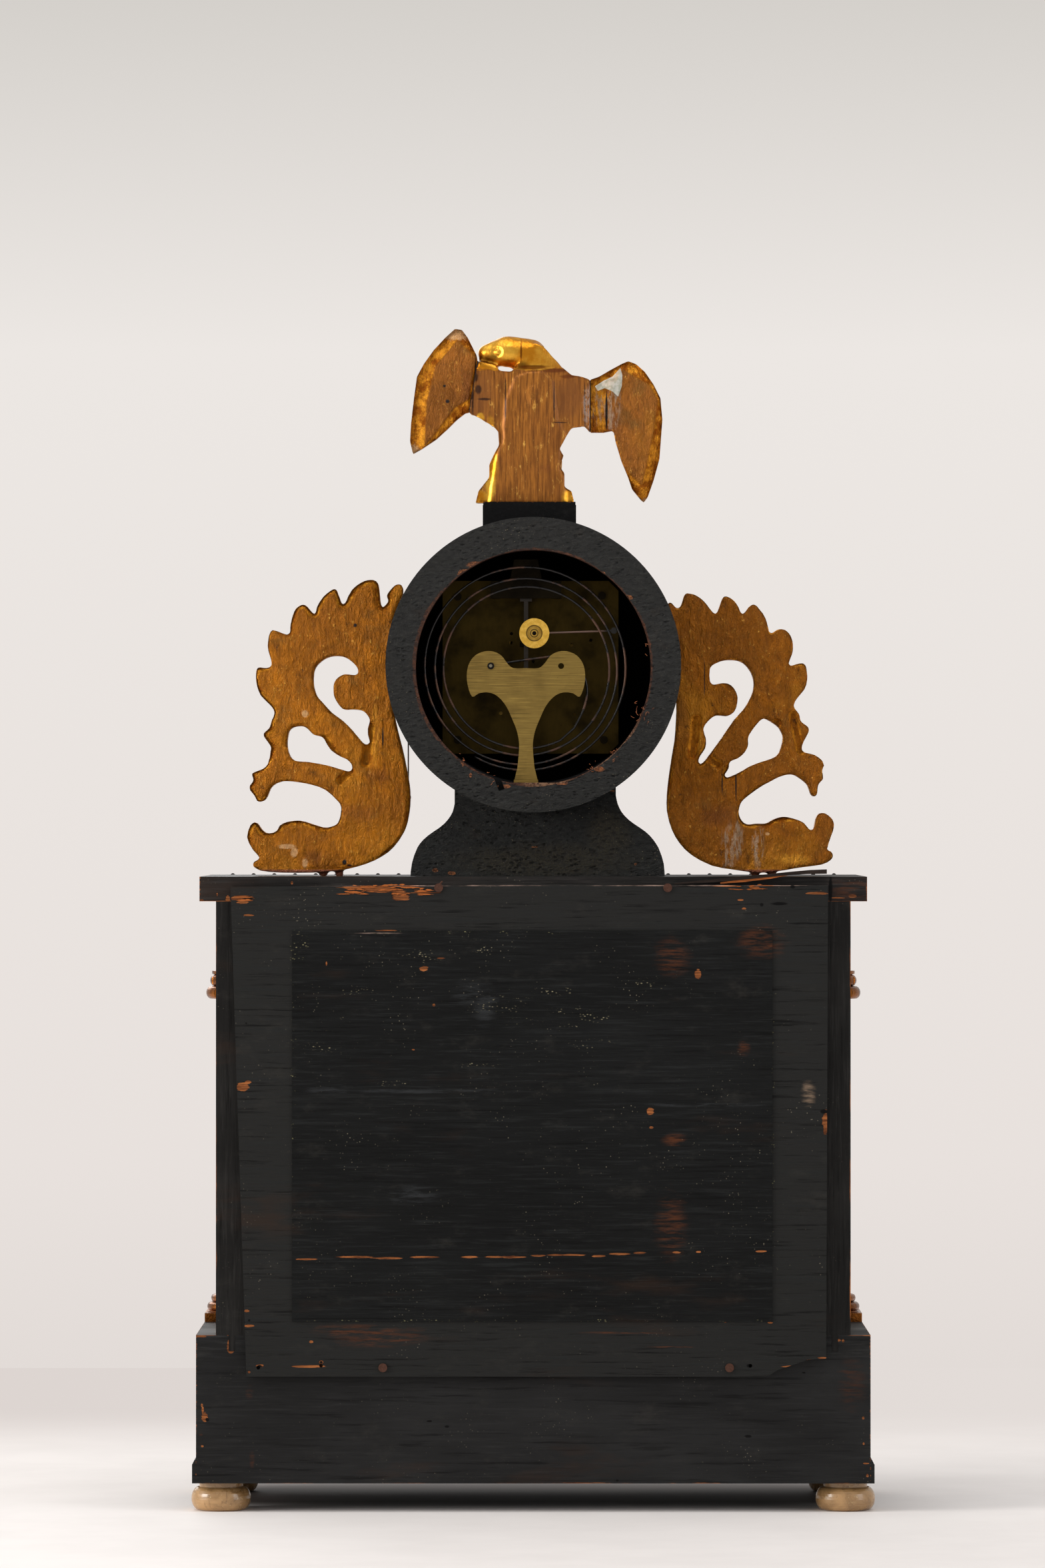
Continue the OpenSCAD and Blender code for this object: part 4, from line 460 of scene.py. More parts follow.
PANEL_CHIPS = [
    *read("top_left", (320, 215, 75, 16), (315, 238, 40, 8), (345, 311, 30, 6), (960, 155, 100, 8),
          (1090, 165, 90, 22), (1250, 140, 55, 15), (1195, 200, 55, 30), (1330, 185, 90, 5), (315, 1270, 35, 28),
          (345, 1245, 20, 10), (1330, 610, 28, 14), (785, 580, 5, 12), (1385, 815, 8, 8), (1270, 1062, 10, 6),
          (1425, 552, 25, 5), (1120, 397, 70, 3)),
    *read("top_right", (455, 118, 25, 5), (740, 140, 90, 4), (895, 150, 28, 12), (1230, 180, 60, 8),
          (1280, 118, 28, 10), (840, 262, 12, 5), (820, 215, 18, 6), (1275, 1400, 16, 60), (345, 1430, 12, 6),
          (348, 1335, 8, 8)),
    *((x, z, w, min(h, SLIT)) for x, z, w, h in read(
        "panel", (40, 1035, 40, 4), (200, 1028, 60, 4), (300, 1032, 55, 12), (420, 1028, 50, 8), (565, 1028, 28, 8),
        (640, 1028, 30, 6), (695, 1028, 40, 12), (780, 1024, 30, 6), (830, 1022, 30, 7), (890, 1022, 40, 10),
        (970, 1025, 22, 14), (1035, 1018, 35, 7), (1100, 1015, 20, 6), (1215, 1013, 15, 5), (1287, 1012, 8, 3),
        (1485, 1010, 18, 4))),
    *read("panel", (1285, 130, 12, 18), (1135, 565, 12, 12)),
    *read("foot_left", (700, 545, 100, 7), (440, 540, 25, 8), (380, 575, 8, 6), (775, 522, 12, 10),
          (367, 242, 15, 8), (380, 323, 28, 9), (720, 410, 12, 8)),
    *read("foot_right", (1060, 545, 70, 6), (1145, 515, 20, 12), (1215, 498, 25, 4), (930, 305, 14, 5),
          (685, 303, 8, 3))]
PANEL_BROWN = [
    *read("top_right", (460, 520, 70, 80), (940, 380, 70, 20), (930, 430, 60, 20), (840, 1010, 30, 30)),
    *read("panel", (1490, 30, 60, 40), (1210, 655, 30, 20), (1200, 930, 40, 80)),
    *read("foot_left", (950, 350, 170, 30), (1100, 385, 190, 45)),
    *read("foot_right", (150, 360, 190, 5), (380, 438, 100, 4))]
PANEL_BEIGE = read("top_right", (1185, 1250, 30, 50))
PANEL_DENT_SHADE = [
    *read("top_left", (345, 215, 30, 8), (335, 915, 5, 5)),
    *read("top_right", (1030, 235, 40, 8), (1100, 145, 14, 10), (1268, 1345, 20, 12), (935, 240, 10, 10)),
    *read("foot_left", (437, 543, 12, 6), (775, 522, 8, 8), (380, 292, 6, 6)),
    *read("foot_right", (815, 540, 14, 10), (1178, 512, 12, 8))]
BASE_CHIPS = [
    *read("foot_left", (135, 825, 18, 28), (120, 760, 6, 10), (125, 790, 6, 20), (122, 985, 8, 7),
          (680, 1190, 15, 3), (480, 1190, 20, 3)),
    *read("foot_right", (1440, 830, 6, 8), (1443, 970, 5, 8), (1455, 1078, 15, 4), (1463, 1145, 6, 10),
          (1355, 470, 15, 4))]
BASE_BROWN = [
    *read("foot_left", (115, 940, 10, 30), (380, 690, 20, 30), (395, 1060, 12, 40)),
    *read("foot_right", (1390, 468, 60, 5), (1380, 640, 60, 120))]
BASE_DENT_SHADE = [
    *read("foot_left", (1365, 848, 14, 5), (1460, 877, 12, 6), (150, 840, 10, 10)),
    *read("foot_right", (810, 930, 18, 8), (1115, 582, 10, 4), (95, 1172, 8, 6))]
TOP_CHIPS = [
    *read("foot_left", (278, 440, 18, 42), (120, 385, 35, 5), (265, 375, 10, 6)),
    *read("foot_right", (1305, 405, 12, 6), (1330, 408, 8, 8), (1310, 365, 50, 3), (1345, 368, 20, 4))]
CORNICE_CHIPS = [
    *read("top_left", (85, 228, 10, 6), (170, 195, 5, 10), (230, 220, 12, 20), (590, 130, 6, 8)),
    *read("top_right", (1340, 205, 40, 5), (1420, 195, 20, 8), (1500, 150, 4, 50))]
NECK_CHIPS = [(x, z, 0.75 * w, 0.6 * h) for x, z, w, h in read(
    "neck", (298, 610, 20, 18), (380, 625, 25, 15), (792, 495, 20, 6), (780, 308, 10, 8), (1175, 218, 15, 5),
    (1290, 580, 8, 10))]
RING_CHIPS = [
    *read("neck", (475, 140, 8, 12), (440, 80, 12, 15), (925, 180, 30, 8), (1110, 110, 30, 14), (650, 195, 20, 10)),
    *read("drum", (500, 280, 45, 18), (440, 320, 30, 20), (1255, 440, 20, 14), (1130, 320, 10, 8))]

# These are given as x, z, half width, half height in mm
PANEL_PALE = [
    (56, 279, 7, 3), (93.7, 247.6, 2.4, 1.4), (106.4, 241.4, 6, 0.8), (104, 234.4, 9.5, 2), (17, 256.5, 13, 4),
    (-10, 261, 10, 3), (3, 246.5, 9, 2), (-14, 243, 9, 3), (-30, 249, 7, 2), (-30, 236, 8, 3), (22, 284, 9, 3),
    (118, 287, 4, 3.5), (-131.8, 281.6, 0.6, 1.5), (-120, 261, 2, 2), (-14, 252, 30, 1.2), (20, 225, 16, 1.4),
    (90, 262, 9, 1.4), (-60, 266, 10, 2), (70, 216, 10, 1.2),
]
# Thin pale lines, along the panel's top edge and one lower down: dust with a painted highlight on it
PANEL_DUST_AND_HIGHLIGHT_LINES = [
    (70, 315.1, 62, 0.35), (-95, 315.1, 50, 0.3), (77, 291.2, 9, 0.25),
]
PANEL_DUST = [
    (120.6, 280, 1.3, 16), (120.3, 250, 1.2, 18), (120.6, 215, 1.1, 18), (120.4, 175, 1, 22), (117.5, 285, 4, 6),
    (-120.4, 200, 0.7, 60), (20, 291.6, 60, 0.8), (0, 96.8, 100, 0.7),
]
PANEL_KNOTS = [
    (32, 261, 7, 5), (24, 255, 5, 9), (103, 213, 9, 2.2), (50, 212, 34, 1), (-80, 205, 30, 1), (60, 160, 10, 4),
]


# Finishes of the case

ALONG_BOARD = (0.05, 1, 1)
BASE_ENDS = ((0, 169.5), (0, -169.5))
panel_black = ebony(
    "panel_black", (0.045, 1, 1), PANEL_CHIPS, (), 0.6, rgb(15, 16, 16), 0.7, 0.8, ridge_scale=640, ridge_color=2.6,
    dent_shade=PANEL_DENT_SHADE,
    lighter=lambda m: m.step(m.axis(1), (PANEL_FACE - 0.1) * MM, (PANEL_FACE + 0.1) * MM, 1.0, 0.0),
    patches=[(PANEL_BROWN, rgb(92, 50, 26), "smear"), (PANEL_KNOTS, rgb(50, 52, 54), "smear"),
             (PANEL_PALE, rgb(140, 132, 106), "dots"), (PANEL_DUST_AND_HIGHLIGHT_LINES, rgb(190, 160, 146), "smear"),
             (PANEL_DUST, rgb(120, 116, 84), "dots"), (PANEL_BEIGE, rgb(150, 126, 104), "smear")])
base_black = ebony(
    "base_black", ALONG_BOARD, BASE_CHIPS, (*BASE_ENDS, (2, 14.6)), 0.62, rgb(31, 31, 31), ridge_scale=420,
    patches=[(BASE_BROWN, rgb(66, 38, 24), "smear")], dent_shade=BASE_DENT_SHADE, ridge_color=1.25)
top_black = ebony(
    "base_top_black", ALONG_BOARD, TOP_CHIPS, (*BASE_ENDS, (2, 89.1)), 0.58, rgb(30, 30, 30), 0.4, 0.5, 0.46)
cornice_black = ebony(
    "cornice_black", ALONG_BOARD, CORNICE_CHIPS, ((0, 167.8), (0, -167.8), (2, 307.1)), 0.56, rgb(34, 32, 31),
    0.4, 0.6, 0.42, [([(-160, 313, 9, 6)], rgb(78, 48, 32), "smear")],
    lighter=lambda m: m.step(m.facing(2), 0.6, 0.9), dent_shade=[(-149.4, 313, 0.9, 7)])
side_black = ebony("side_black", (1, 1, 0.05), (), ((0, 159.5), (0, -159.5)), 0.6, rgb(27, 26, 25), 0.35, 0.4, 0.45)
front_black = ebony("front_black", ALONG_BOARD, (), ((2, 305),), 0.62, rgb(20, 20, 21), 0.2, 0.15, 0.3)
block_black = ebony("block_black", (1, 0.1, 1), (), ((2, 510),), 0.66, rgb(10, 10, 11), 0.1, 0.3, 0.3)
hoop_black = ebony("hoop_black", (1, 0.08, 1), tint=rgb(22, 22, 23), specks=0.3, rough=0.4)


def rough_ring(name, chips, tint, porous=(), center=True):
    """Black paint over end grain: rows of dark pits and pale dust on the open wood, raw wood where it is cut."""
    m = Mat(name)
    v = m.warp(m.pos, 60, 0.004)
    rows = m.noise(640, (0.42, 1, 1), 4, 0.65, 0.3, v)
    pits = m.step(m.cells(430, (0.62, 1, 1.25), m.warp(m.pos, 90, 0.003)), 0.4, 0.24)
    grit = m.cloud(1500, 5, 0.75)
    m.color = m.mix(m.step(rows, 0.36, 0.7), times(tint, 0.5), times(tint, 1.5))
    m.lay(rgb(76, 72, 64), grit, 0.54, 0.74, 0.7)
    many = m.step(m.cloud(75, 4, 0.65), 0.44, 0.6, 0.25, 1.0)
    holes = m.mul(m.mul(pits, many), m.step(rows, 0.6, 0.4))
    m.over(m.mul(m.step(rows, 0.6, 0.72), m.inv(holes)), times(tint, 2.4))
    m.over(holes, rgb(3, 3, 3))
    m.lay(rgb(48, 36, 24), m.cloud(60, 5, 0.7), 0.56, 0.74, 0.35)
    if porous:
        open_wood = m.mul(m.blob(porous, 0.5, 130, 0.5), m.step(grit, 0.42, 0.62, 0.2, 1.0))
        m.over(open_wood, rgb(56, 50, 36))
        m.over(m.mul(open_wood, pits), rgb(8, 8, 6))
    dust = m.mul(m.step(m.cells(560), 0.16, 0.07), m.step(m.cloud(45, 4, 0.7), 0.46, 0.66))
    m.over(dust, rgb(160, 146, 118), 0.6)
    height = m.sub(m.add(rows, m.mul(grit, 0.6)), m.mul(holes, 1.6))
    if chips:
        bare = m.shards(chips, (1, 1, 1), 500, 0.6)
        m.over(bare, m.mix(m.step(grit, 0.4, 0.62), RAW_DARK, RAW))
    if center:
        r = m.around(0, OPENING_Z)
        wobble = m.mad(m.cloud(300, 5, 0.75), 0.002, -0.001)
        far = m.step(m.cloud(38, 3, 0.6), 0.4, 0.62, -0.0002, 0.0005)
        near_left = m.step(m.axis(0), 0.03, 0.055, 0.0, 0.0007)
        reach = m.sub(m.add(r, wobble), m.add(far, near_left))
        inner = m.step(reach, (OPENING_R + 0.2) * MM, (OPENING_R - 0.2) * MM)
        wood = m.mix(m.step(m.noise(420, (1, 0.15, 1), 5, 0.75), 0.35, 0.68), rgb(36, 17, 9), rgb(98, 54, 28))
        sawn = m.blob([(-40, 384, 16, 17), (-8, 367, 12, 3)], 0.5, 300, 0.5)
        wood = m.mix(m.mul(sawn, m.step(m.cloud(900, 4, 0.7), 0.4, 0.6)), wood, rgb(150, 112, 82))
        m.over(inner, wood)
    n = m.bump(height, 1.0, 0.0032)
    rough = m.calc("MAXIMUM", m.step(grit, 0.3, 0.7, 0.36, 0.56), holes)
    return m.done(m.color, rough, 0.0, n, IOR=1.45, Specular_IOR_Level=0.3)


ring_black = rough_ring("ring_black", RING_CHIPS, rgb(30, 30, 28))
neck_black = rough_ring("neck_black", NECK_CHIPS, rgb(28, 29, 28), [(-6, 327, 40, 8), (-38, 340, 10, 12)], False)

alabaster = stone("alabaster", rgb(136, 104, 66), rgb(176, 138, 92), rgb(98, 68, 38))
column_stone = stone("column_stone", rgb(196, 178, 148), rgb(224, 210, 184), rgb(160, 132, 96), 0.16)
raw_wood = plain("raw_wood", rgb(126, 80, 44), 0.6, 0.0, 500, 0.4, (0.06, 1, 1))
aged_brass = brass("aged_brass", rgb(56, 44, 14), 0.5, (1, 1, 0.3), 0.9, rgb(16, 12, 4), 700, 0.7,
                   Specular_IOR_Level=0.1)
dark_brass = brass("dark_brass", rgb(24, 19, 9), 0.6, None, 0.9, rgb(8, 6, 4), 900, 0.3, Specular_IOR_Level=0.05)
inside_black = plain("inside_black", rgb(11, 9, 7), 0.8, 0.0, 700, 0.2, Specular_IOR_Level=0.03)
stand_brass = brass("stand_brass", rgb(124, 102, 50), 0.5, (0.03, 1, 1), 0.35, rgb(80, 60, 26), 1500, 0.5,
                    scratch=0.7, rivet=(21.5, 426.0), Specular_IOR_Level=0.2)
plate_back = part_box("back_plate")[1][1] / MM
gear_brass = brass("gear_brass", rgb(206, 168, 84), 0.26, (1, 1, 1), 0.35, dark_behind=plate_back - 0.3)
bezel_brass = brass("bezel_brass", rgb(216, 172, 84), 0.24, None, 0.3, rgb(120, 84, 34))
steel = plain("steel", rgb(150, 150, 150), 0.3, 1.0, 2200, 0.15, (0.1, 1, 1))
iron = plain("iron", rgb(78, 52, 42), 0.7, 0.3, 700, 0.6, Specular_IOR_Level=0.15)
blued = plain("blued_steel", rgb(34, 44, 92), 0.22, 0.9, 1200, 0.06)
dark_steel = plain("dark_steel", rgb(20, 17, 12), 0.6, 0.4, 1500, 0.2, Specular_IOR_Level=0.05)


def by_height(name, z, low_color, high_color):
    """Bright metal below a height in mm, dark above it."""
    m = Mat(name)
    up = m.step(m.axis(2), (z - 4) * MM, (z + 4) * MM)
    g = m.cloud(900, 3, 0.6)
    m.color = m.mix(up, low_color, high_color)
    m.lay(times(high_color, 0.6), g, 0.35, 0.7, 0.3)
    return m.done(m.color, 0.25, m.step(up, 0, 1, 1.0, 0.4), m.bump(g, 0.1, 0.0002))


pendulum_brass = by_height("pendulum_brass", 360, rgb(214, 166, 78), rgb(34, 25, 14))


def turned_disc(name, x, z):
    """The hammer's brass head with turned steps, on a dark steel rod."""
    m = Mat(name)
    r = m.around(x, z)
    rod = m.step(r, 7.6 * MM, 7.9 * MM)
    g = m.cloud(500, 4, 0.6)
    m.color = m.mix(m.step(g, 0.36, 0.7), rgb(206, 160, 58), rgb(230, 186, 84))
    # Painted shade on the walls and floors of the turned steps, in a ring round the hub and as a dark dot at the
    # centre
    wall = m.mul(m.step(r, 4.35 * MM, 4.1 * MM), m.step(r, 3.3 * MM, 3.7 * MM))
    floor_shade = m.mul(m.step(r, 4.0 * MM, 3.4 * MM), 0.4)
    m.over(m.most(m.mul(wall, 0.75), floor_shade), rgb(52, 34, 8))
    hub_ring_shade = m.mul(m.step(r, 2.3 * MM, 2.1 * MM), m.step(r, 1.5 * MM, 1.7 * MM))
    m.over(hub_ring_shade, rgb(40, 26, 8), 0.8)
    m.lay(rgb(4, 3, 2), r, 1.1 * MM, 0.95 * MM)
    m.over(rod, rgb(96, 74, 64))
    m.lay(rgb(16, 12, 10), m.axis(0), -34 * MM, -38 * MM)
    n = m.bump(m.calc("SINE", m.mul(r, 7000)), 0.1, 0.0001)
    return m.done(m.color, m.step(g, 0.3, 0.7, 0.3, 0.36), m.step(rod, 0, 1, 0.7, 0.3), n)


hammer_brass = turned_disc("hammer_brass", -0.5, 442.7)
gong_steel = gong_wire("gong_steel")
enamel = plain("enamel", rgb(240, 236, 224), 0.12, 0.0, 40, 0.02, IOR=1.52)
leaf = gilt_leaf("gilt_leaf")
dull_leaf = gilt_leaf("dull_leaf", rgb(104, 58, 22), rgb(158, 96, 42))
studs = plain("dark_studs", rgb(42, 34, 30), 0.35, 0.0, 700, 0.2)
glass = clear_glass()
mirror = plain("mirror", rgb(226, 230, 230), 0.03, 1.0, 30, 0.01)

# Which finish each CAD node has, and the width of its softened edges
for mat, width, names in (
        (alabaster, 0.5, "foot_back_left foot_back_right foot_front_left foot_front_right"),
        (base_black, 0.4, "base_boards"), (base_black, 0.3, "base_moulding"), (top_black, 0.5, "base_top_board"),
        (side_black, 0.4, "case_side_left case_side_right"), (side_black, 0.3, "neck_sides"),
        (raw_wood, 0.3, "mirror_board"), (raw_wood, 0, "repeat_cord cord_bead"), (mirror, 0.2, "mirror_glass"),
        (leaf, 0.4, "mirror_frame"), (dull_leaf, 0.3, "column_bases capitals"), (panel_black, 0.35, "back_panel"),
        (iron, 0.2, "panel_nails"), (cornice_black, 0.5, "cornice_board"), (front_black, 0.4, "frieze"),
        (column_stone, 0.2, "column_left column_right"), (studs, 0, "cornice_beads"),
        (neck_black, 0.3, "neck_boards"), (hoop_black, 0.5, "drum_hoop drum_front_ring"),
        (ring_black, 0.6, "drum_back_ring"), (bezel_brass, 0.2, "bezel"), (bezel_brass, 0, "bezel_hinge"),
        (glass, 0, "bezel_glass"), (inside_black, 0.1, "dial_plate"), (inside_black, 0.15, "front_plate"),
        (enamel, 0.25, "dial"), (blued, 0.1, "hour_hand minute_hand"), (aged_brass, 0.15, "back_plate"),
        (dark_brass, 0.15, "plate_pillars back_cock"), (steel, 0.1, "going_arbor strike_arbor"),
        (gear_brass, 0, "going_barrel strike_barrel centre_wheel minute_wheel hour_wheel third_wheel"),
        (gear_brass, 0, "escape_wheel pin_wheel"), (dark_steel, 0.1, "anchor"), (pendulum_brass, 0, "pendulum"),
        (hammer_brass, 0.12, "hammer"), (gong_steel, 0, "gong"), (stand_brass, 0.2, "gong_stand"),
        (block_black, 0.5, "eagle_block")):
    for name in names.split():
        paint(name, mat)
        if width:
            soften(name, width)


# Mesh helpers

def link(name, mesh, mat, body, smooth=True):
    ob = bpy.data.objects.new(name, mesh)
    scene.collection.objects.link(ob)
    mesh.materials.clear()
    mesh.materials.append(mat)
    if smooth:
        mesh.shade_smooth()
    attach(ob, body)
    return ob


def grid_noise(p, seed):
    """Smooth value noise in -1..1 at points p (n x 3)."""
    i = np.floor(p).astype(np.int64)
    f = p - i
    f = f * f * (3 - 2 * f)
    out = np.zeros(len(p))
    for dx in (0, 1):
        for dy in (0, 1):
            for dz in (0, 1):
                h = (i[:, 0] + dx) * 73856093 ^ (i[:, 1] + dy) * 19349663
                h = h ^ (i[:, 2] + dz) * 83492791 ^ (seed * 2654435761)
                h = (h ^ (h >> 13)) * 1274126177 & 0x7FFFFFFF
                h = (h ^ (h >> 16)) & 0xFFFF
                share = [f[:, k] if on else 1 - f[:, k] for k, on in enumerate((dx, dy, dz))]
                out += (h / 32767.5 - 1) * (share[0] * share[1] * share[2])
    return out


def layers(p, scale, octaves, seed):
    """Noise at a scale and, more faintly, at finer ones."""
    total = np.zeros(len(p))
    amp, norm = 1.0, 0.0
    for o in range(octaves):
        total += amp * grid_noise(p * (scale * 2 ** o), seed + o)
        norm += amp
        amp *= 0.5
    return total / norm


def remeshed(node, voxel, smooth):
    """A closed copy of a CAD node in small even faces."""
    bm = bmesh.new()
    bm.from_mesh(nodes[node].data)
    me = bpy.data.meshes.new(node + "_carved")
    bm.to_mesh(me)
    bm.free()
    ob = bpy.data.objects.new(node + "_carved", me)
    scene.collection.objects.link(ob)
    fine = ob.modifiers.new("fine", "REMESH")
    fine.mode = "VOXEL"
    fine.voxel_size = voxel
    even = ob.modifiers.new("even", "SMOOTH")
    even.factor = 0.5
    even.iterations = smooth
    dg = bpy.context.evaluated_depsgraph_get()
    out = bpy.data.meshes.new_from_object(ob.evaluated_get(dg))
    bpy.data.objects.remove(ob)
    return out


def points_of(me):
    v = np.empty(len(me.vertices) * 3)
    me.vertices.foreach_get("co", v)
    return v.reshape(-1, 3)


def normals_of(me):
    n = np.empty(len(me.vertices) * 3)
    me.vertex_normals.foreach_get("vector", n)
    return n.reshape(-1, 3)


def put_points(me, p):
    me.vertices.foreach_set("co", p.ravel())
    me.update()


# Carvings: the back is flat and brushed with ochre, the front is carved in relief

def near_edge(p, edge):
    """Distance in mm from points (n x 2) to the nearest of the edge points."""
    out = np.empty(len(p))
    for i in range(0, len(p), 2000):
        d = p[i:i + 2000, None, :] - edge[None, :, :]
        out[i:i + 2000] = np.sqrt((d ** 2).sum(2).min(1))
    return out


def to_segment(p, a, b):
    """Distance of points (n x 2) from the stretch a to b, and how far along it, 0..1."""
    a, b = np.array(a, float), np.array(b, float)
    ab = b - a
    t = np.clip(((p - a) @ ab) / (ab @ ab), 0, 1)
    return np.sqrt(((p - a - t[:, None] * ab) ** 2).sum(1)), t


def relaxed(me, p, mask, times):
    """Moves the masked points towards the middle of their neighbours."""
    e = np.empty(len(me.edges) * 2, np.int64)
    me.edges.foreach_get("vertices", e)
    e = e.reshape(-1, 2)
    count = np.bincount(e.ravel(), minlength=len(p)).astype(float)
    for _ in range(times):
        total = np.zeros_like(p)
        np.add.at(total, e[:, 0], p[e[:, 1]])
        np.add.at(total, e[:, 1], p[e[:, 0]])
        p[mask] += 0.6 * (total / count[:, None] - p)[mask]
    return p


def smooth01(v, lo, hi):
    t = np.clip((v - lo) / (hi - lo), 0, 1)
    return t * t * (3 - 2 * t)


def edge_points(xz, n):
    e = xz[np.abs(n[:, 1]) < 0.55]
    return e[::max(1, len(e) // 1500)]


def carve_scroll(node, mat, origin, eye, notches, veins, bevels):
    """origin is the sheet's lower corner from which u runs to -X; all in mm."""
    me = remeshed(node, 0.85 * MM, 2)
    p = points_of(me) / MM
    n = normals_of(me)
    lo, hi = (np.array(v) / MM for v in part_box(node))
    xz = p[:, [0, 2]]
    d = near_edge(xz, edge_points(xz, n))
    uv = np.column_stack([origin[0] - p[:, 0], p[:, 2] - origin[1]])
    above = p[:, 2] > CORNICE_TOP + 3.4
    mid = (lo[1] + hi[1]) / 2
    front = (p[:, 1] < mid) & (n[:, 1] < -0.3) & above
    back = (p[:, 1] > mid) & (n[:, 1] > 0.3) & above
    # front: a rounded rim with grooves between the lobes and a line along the edge
    rim = 7.0
    round_off = 4.2 * (1 - np.sqrt(np.clip(1 - (1 - np.clip(d, 0, rim) / rim) ** 2, 0, 1)))
    groove = 0.9 * np.exp(-((d - 3.4) / 0.8) ** 2)
    for q in notches:
        s, t = to_segment(uv, q, (q[0] + (eye[0] - q[0]) * 0.62, q[1] + (eye[1] - q[1]) * 0.62))
        groove += 2.4 * np.exp(-(s / 1.5) ** 2) * (1 - t) ** 0.5
    for line in veins:
        for a, b in zip(line[:-1], line[1:]):
            s = to_segment(uv, a, b)[0]
            groove = np.maximum(groove, 1.7 * np.exp(-(s / 1.3) ** 2))
    veins_fine = 0.35 * np.abs(np.sin(np.arctan2(uv[:, 1] - eye[1], uv[:, 0] - eye[0]) * 24))
    cut = np.clip(round_off + groove + veins_fine * smooth01(d, 2, 5), 0, 7.0)
    p[front, 1] += cut[front]
    # back: hand worked and a little hollow, with bright bevels in places along the edge
    lump = layers(p, 0.22, 3, 5)
    wide = 0.7 + 2.6 * smooth01(layers(p, 0.035, 2, 9), 0.1, 0.5)
    drop = np.clip(wide - d, 0, 9) * 0.7 + 0.5 * np.clip(lump + 0.35, 0, 2) + 0.35 * np.exp(-(d / 0.8) ** 2)
    for a, b, w, deep in bevels:
        s = to_segment(uv, a, b)[0]
        drop = np.maximum(drop, deep * smooth01(w - s, 0, w * 0.6))
    p[back, 1] -= np.clip(drop, 0, 4.5)[back]
    side = above & ~front & ~back & (d < 1.5)
    wave = 0.28 * layers(p, 0.3, 2, 3)
    for i in (0, 2):
        p[side, i] -= n[side, i] * np.abs(wave[side])
    put_points(me, p * MM)
    ob = link(node + "_carved", me, mat, "case")
    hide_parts(node)


LEFT_EYE, RIGHT_EYE = (50, 95), (64, 92)
scroll_left_gilt = gilt_back(
    "scroll_left_gilt", rgb(170, 102, 12), pegs=True,
    pale=[(116, 402, 1.5, 1.6), (125, 334.5, 4.0, 1.2), (121.5, 331.5, 1.6, 2.4), (116, 326, 1.3, 2.4)],
    cracks=[(96, 326.5, 1.1, 1.3), (90.5, 447, 0.9, 0.9), (93.5, 325, 1.2, 0.4), (76.5, 390, 0.4, 5)],
    stains=[(112, 329, 5, 3.5), (90, 352, 9, 4), (79, 371, 5, 3)],
    shine=[(80.5, 391, 1.9, 13), (144, 396, 1.2, 8), (138, 382, 1.6, 6)])
scroll_right_gilt = gilt_back(
    "scroll_right_gilt", rgb(148, 86, 6), pegs=True, pale=[(-119, 341, 1.1, 0.8)],
    tape=[(-99, 333, 3.6, 11), (-104, 338, 2.6, 9), (-114.5, 335, 3.0, 10)],
    cracks=[(-87, 420, 0.25, 9), (-103, 366, 0.35, 8), (-96, 367, 0.3, 6)],
    stains=[(-95, 350, 8, 5), (-75, 400, 4, 12)],
    shine=[(-132, 328, 7.5, 2.2), (-84, 391, 1.2, 8), (-124, 388, 1.4, 5)])
carve_scroll(
    "scroll_left", scroll_left_gilt, (149.1, 321.2), LEFT_EYE,
    notches=[(72, 135), (52.5, 135), (38, 131), (21, 122), (12.5, 104), (17, 84), (13, 69)],
    veins=[[(80, 120), (70, 60), (72, 30), (58, 12), (30, 8)], [(60, 45), (40, 62), (28, 70)],
           [(50, 45), (30, 52), (12, 46)]],
    bevels=[((66, 74), (64, 56), 3.2, 2.6), ((50, 58), (43, 68), 2.6, 2.0), ((56, 52), (51, 47), 2.4, 2.2),
            ((12, 66), (8, 52), 2.5, 1.6)])
carve_scroll(
    "scroll_right", scroll_right_gilt, (-33.9, 321.2), RIGHT_EYE,
    notches=[(59, 131.5), (72.5, 131), (86.5, 121), (96, 105), (98.5, 84.5), (102.5, 62.5)],
    veins=[[(38, 120), (42, 60), (40, 35), (52, 14), (100, 8)], [(60, 55), (78, 72), (88, 80)],
           [(70, 42), (95, 54), (110, 44)]],
    bevels=[((49, 78), (47, 60), 2.8, 2.6), ((55, 58), (60, 55), 2.4, 2.0), ((90, 76), (80, 60), 3.0, 1.8),
            ((98, 80), (102, 62), 2.6, 2.0), ((66, 94), (62, 100), 2.8, 1.4)])


# Eagle

EAGLE_SLAB = [
    (8.8, 573.3), (13.3, 562.4), (14.3, 551.5), (14.3, 542.4), (18.3, 534.2), (19.3, 526.9), (20.6, 518.8),
    (22, 509), (-16.2, 509), (-15.6, 521.5), (-12.6, 527.8), (-13, 536), (-17.1, 543.3), (-13.9, 547.8),
    (-11.6, 552.4), (-10.3, 562.4), (-9.4, 571.5), (-4.8, 576.5), (3.3, 576)]
WING_LEFT_FIELD = [(49.7, 579.6), (38.8, 592.4), (29.7, 584.2), (33.3, 563.3), (40.6, 558.7), (55.1, 539.7),
                   (54.2, 560.6)]
WING_RIGHT_FIELD = [(-45.7, 577.8), (-59.4, 569.7), (-63, 562.4), (-61.2, 546.9), (-55.3, 519.7), (-44.8, 529.7),
                    (-41, 546), (-38, 562)]


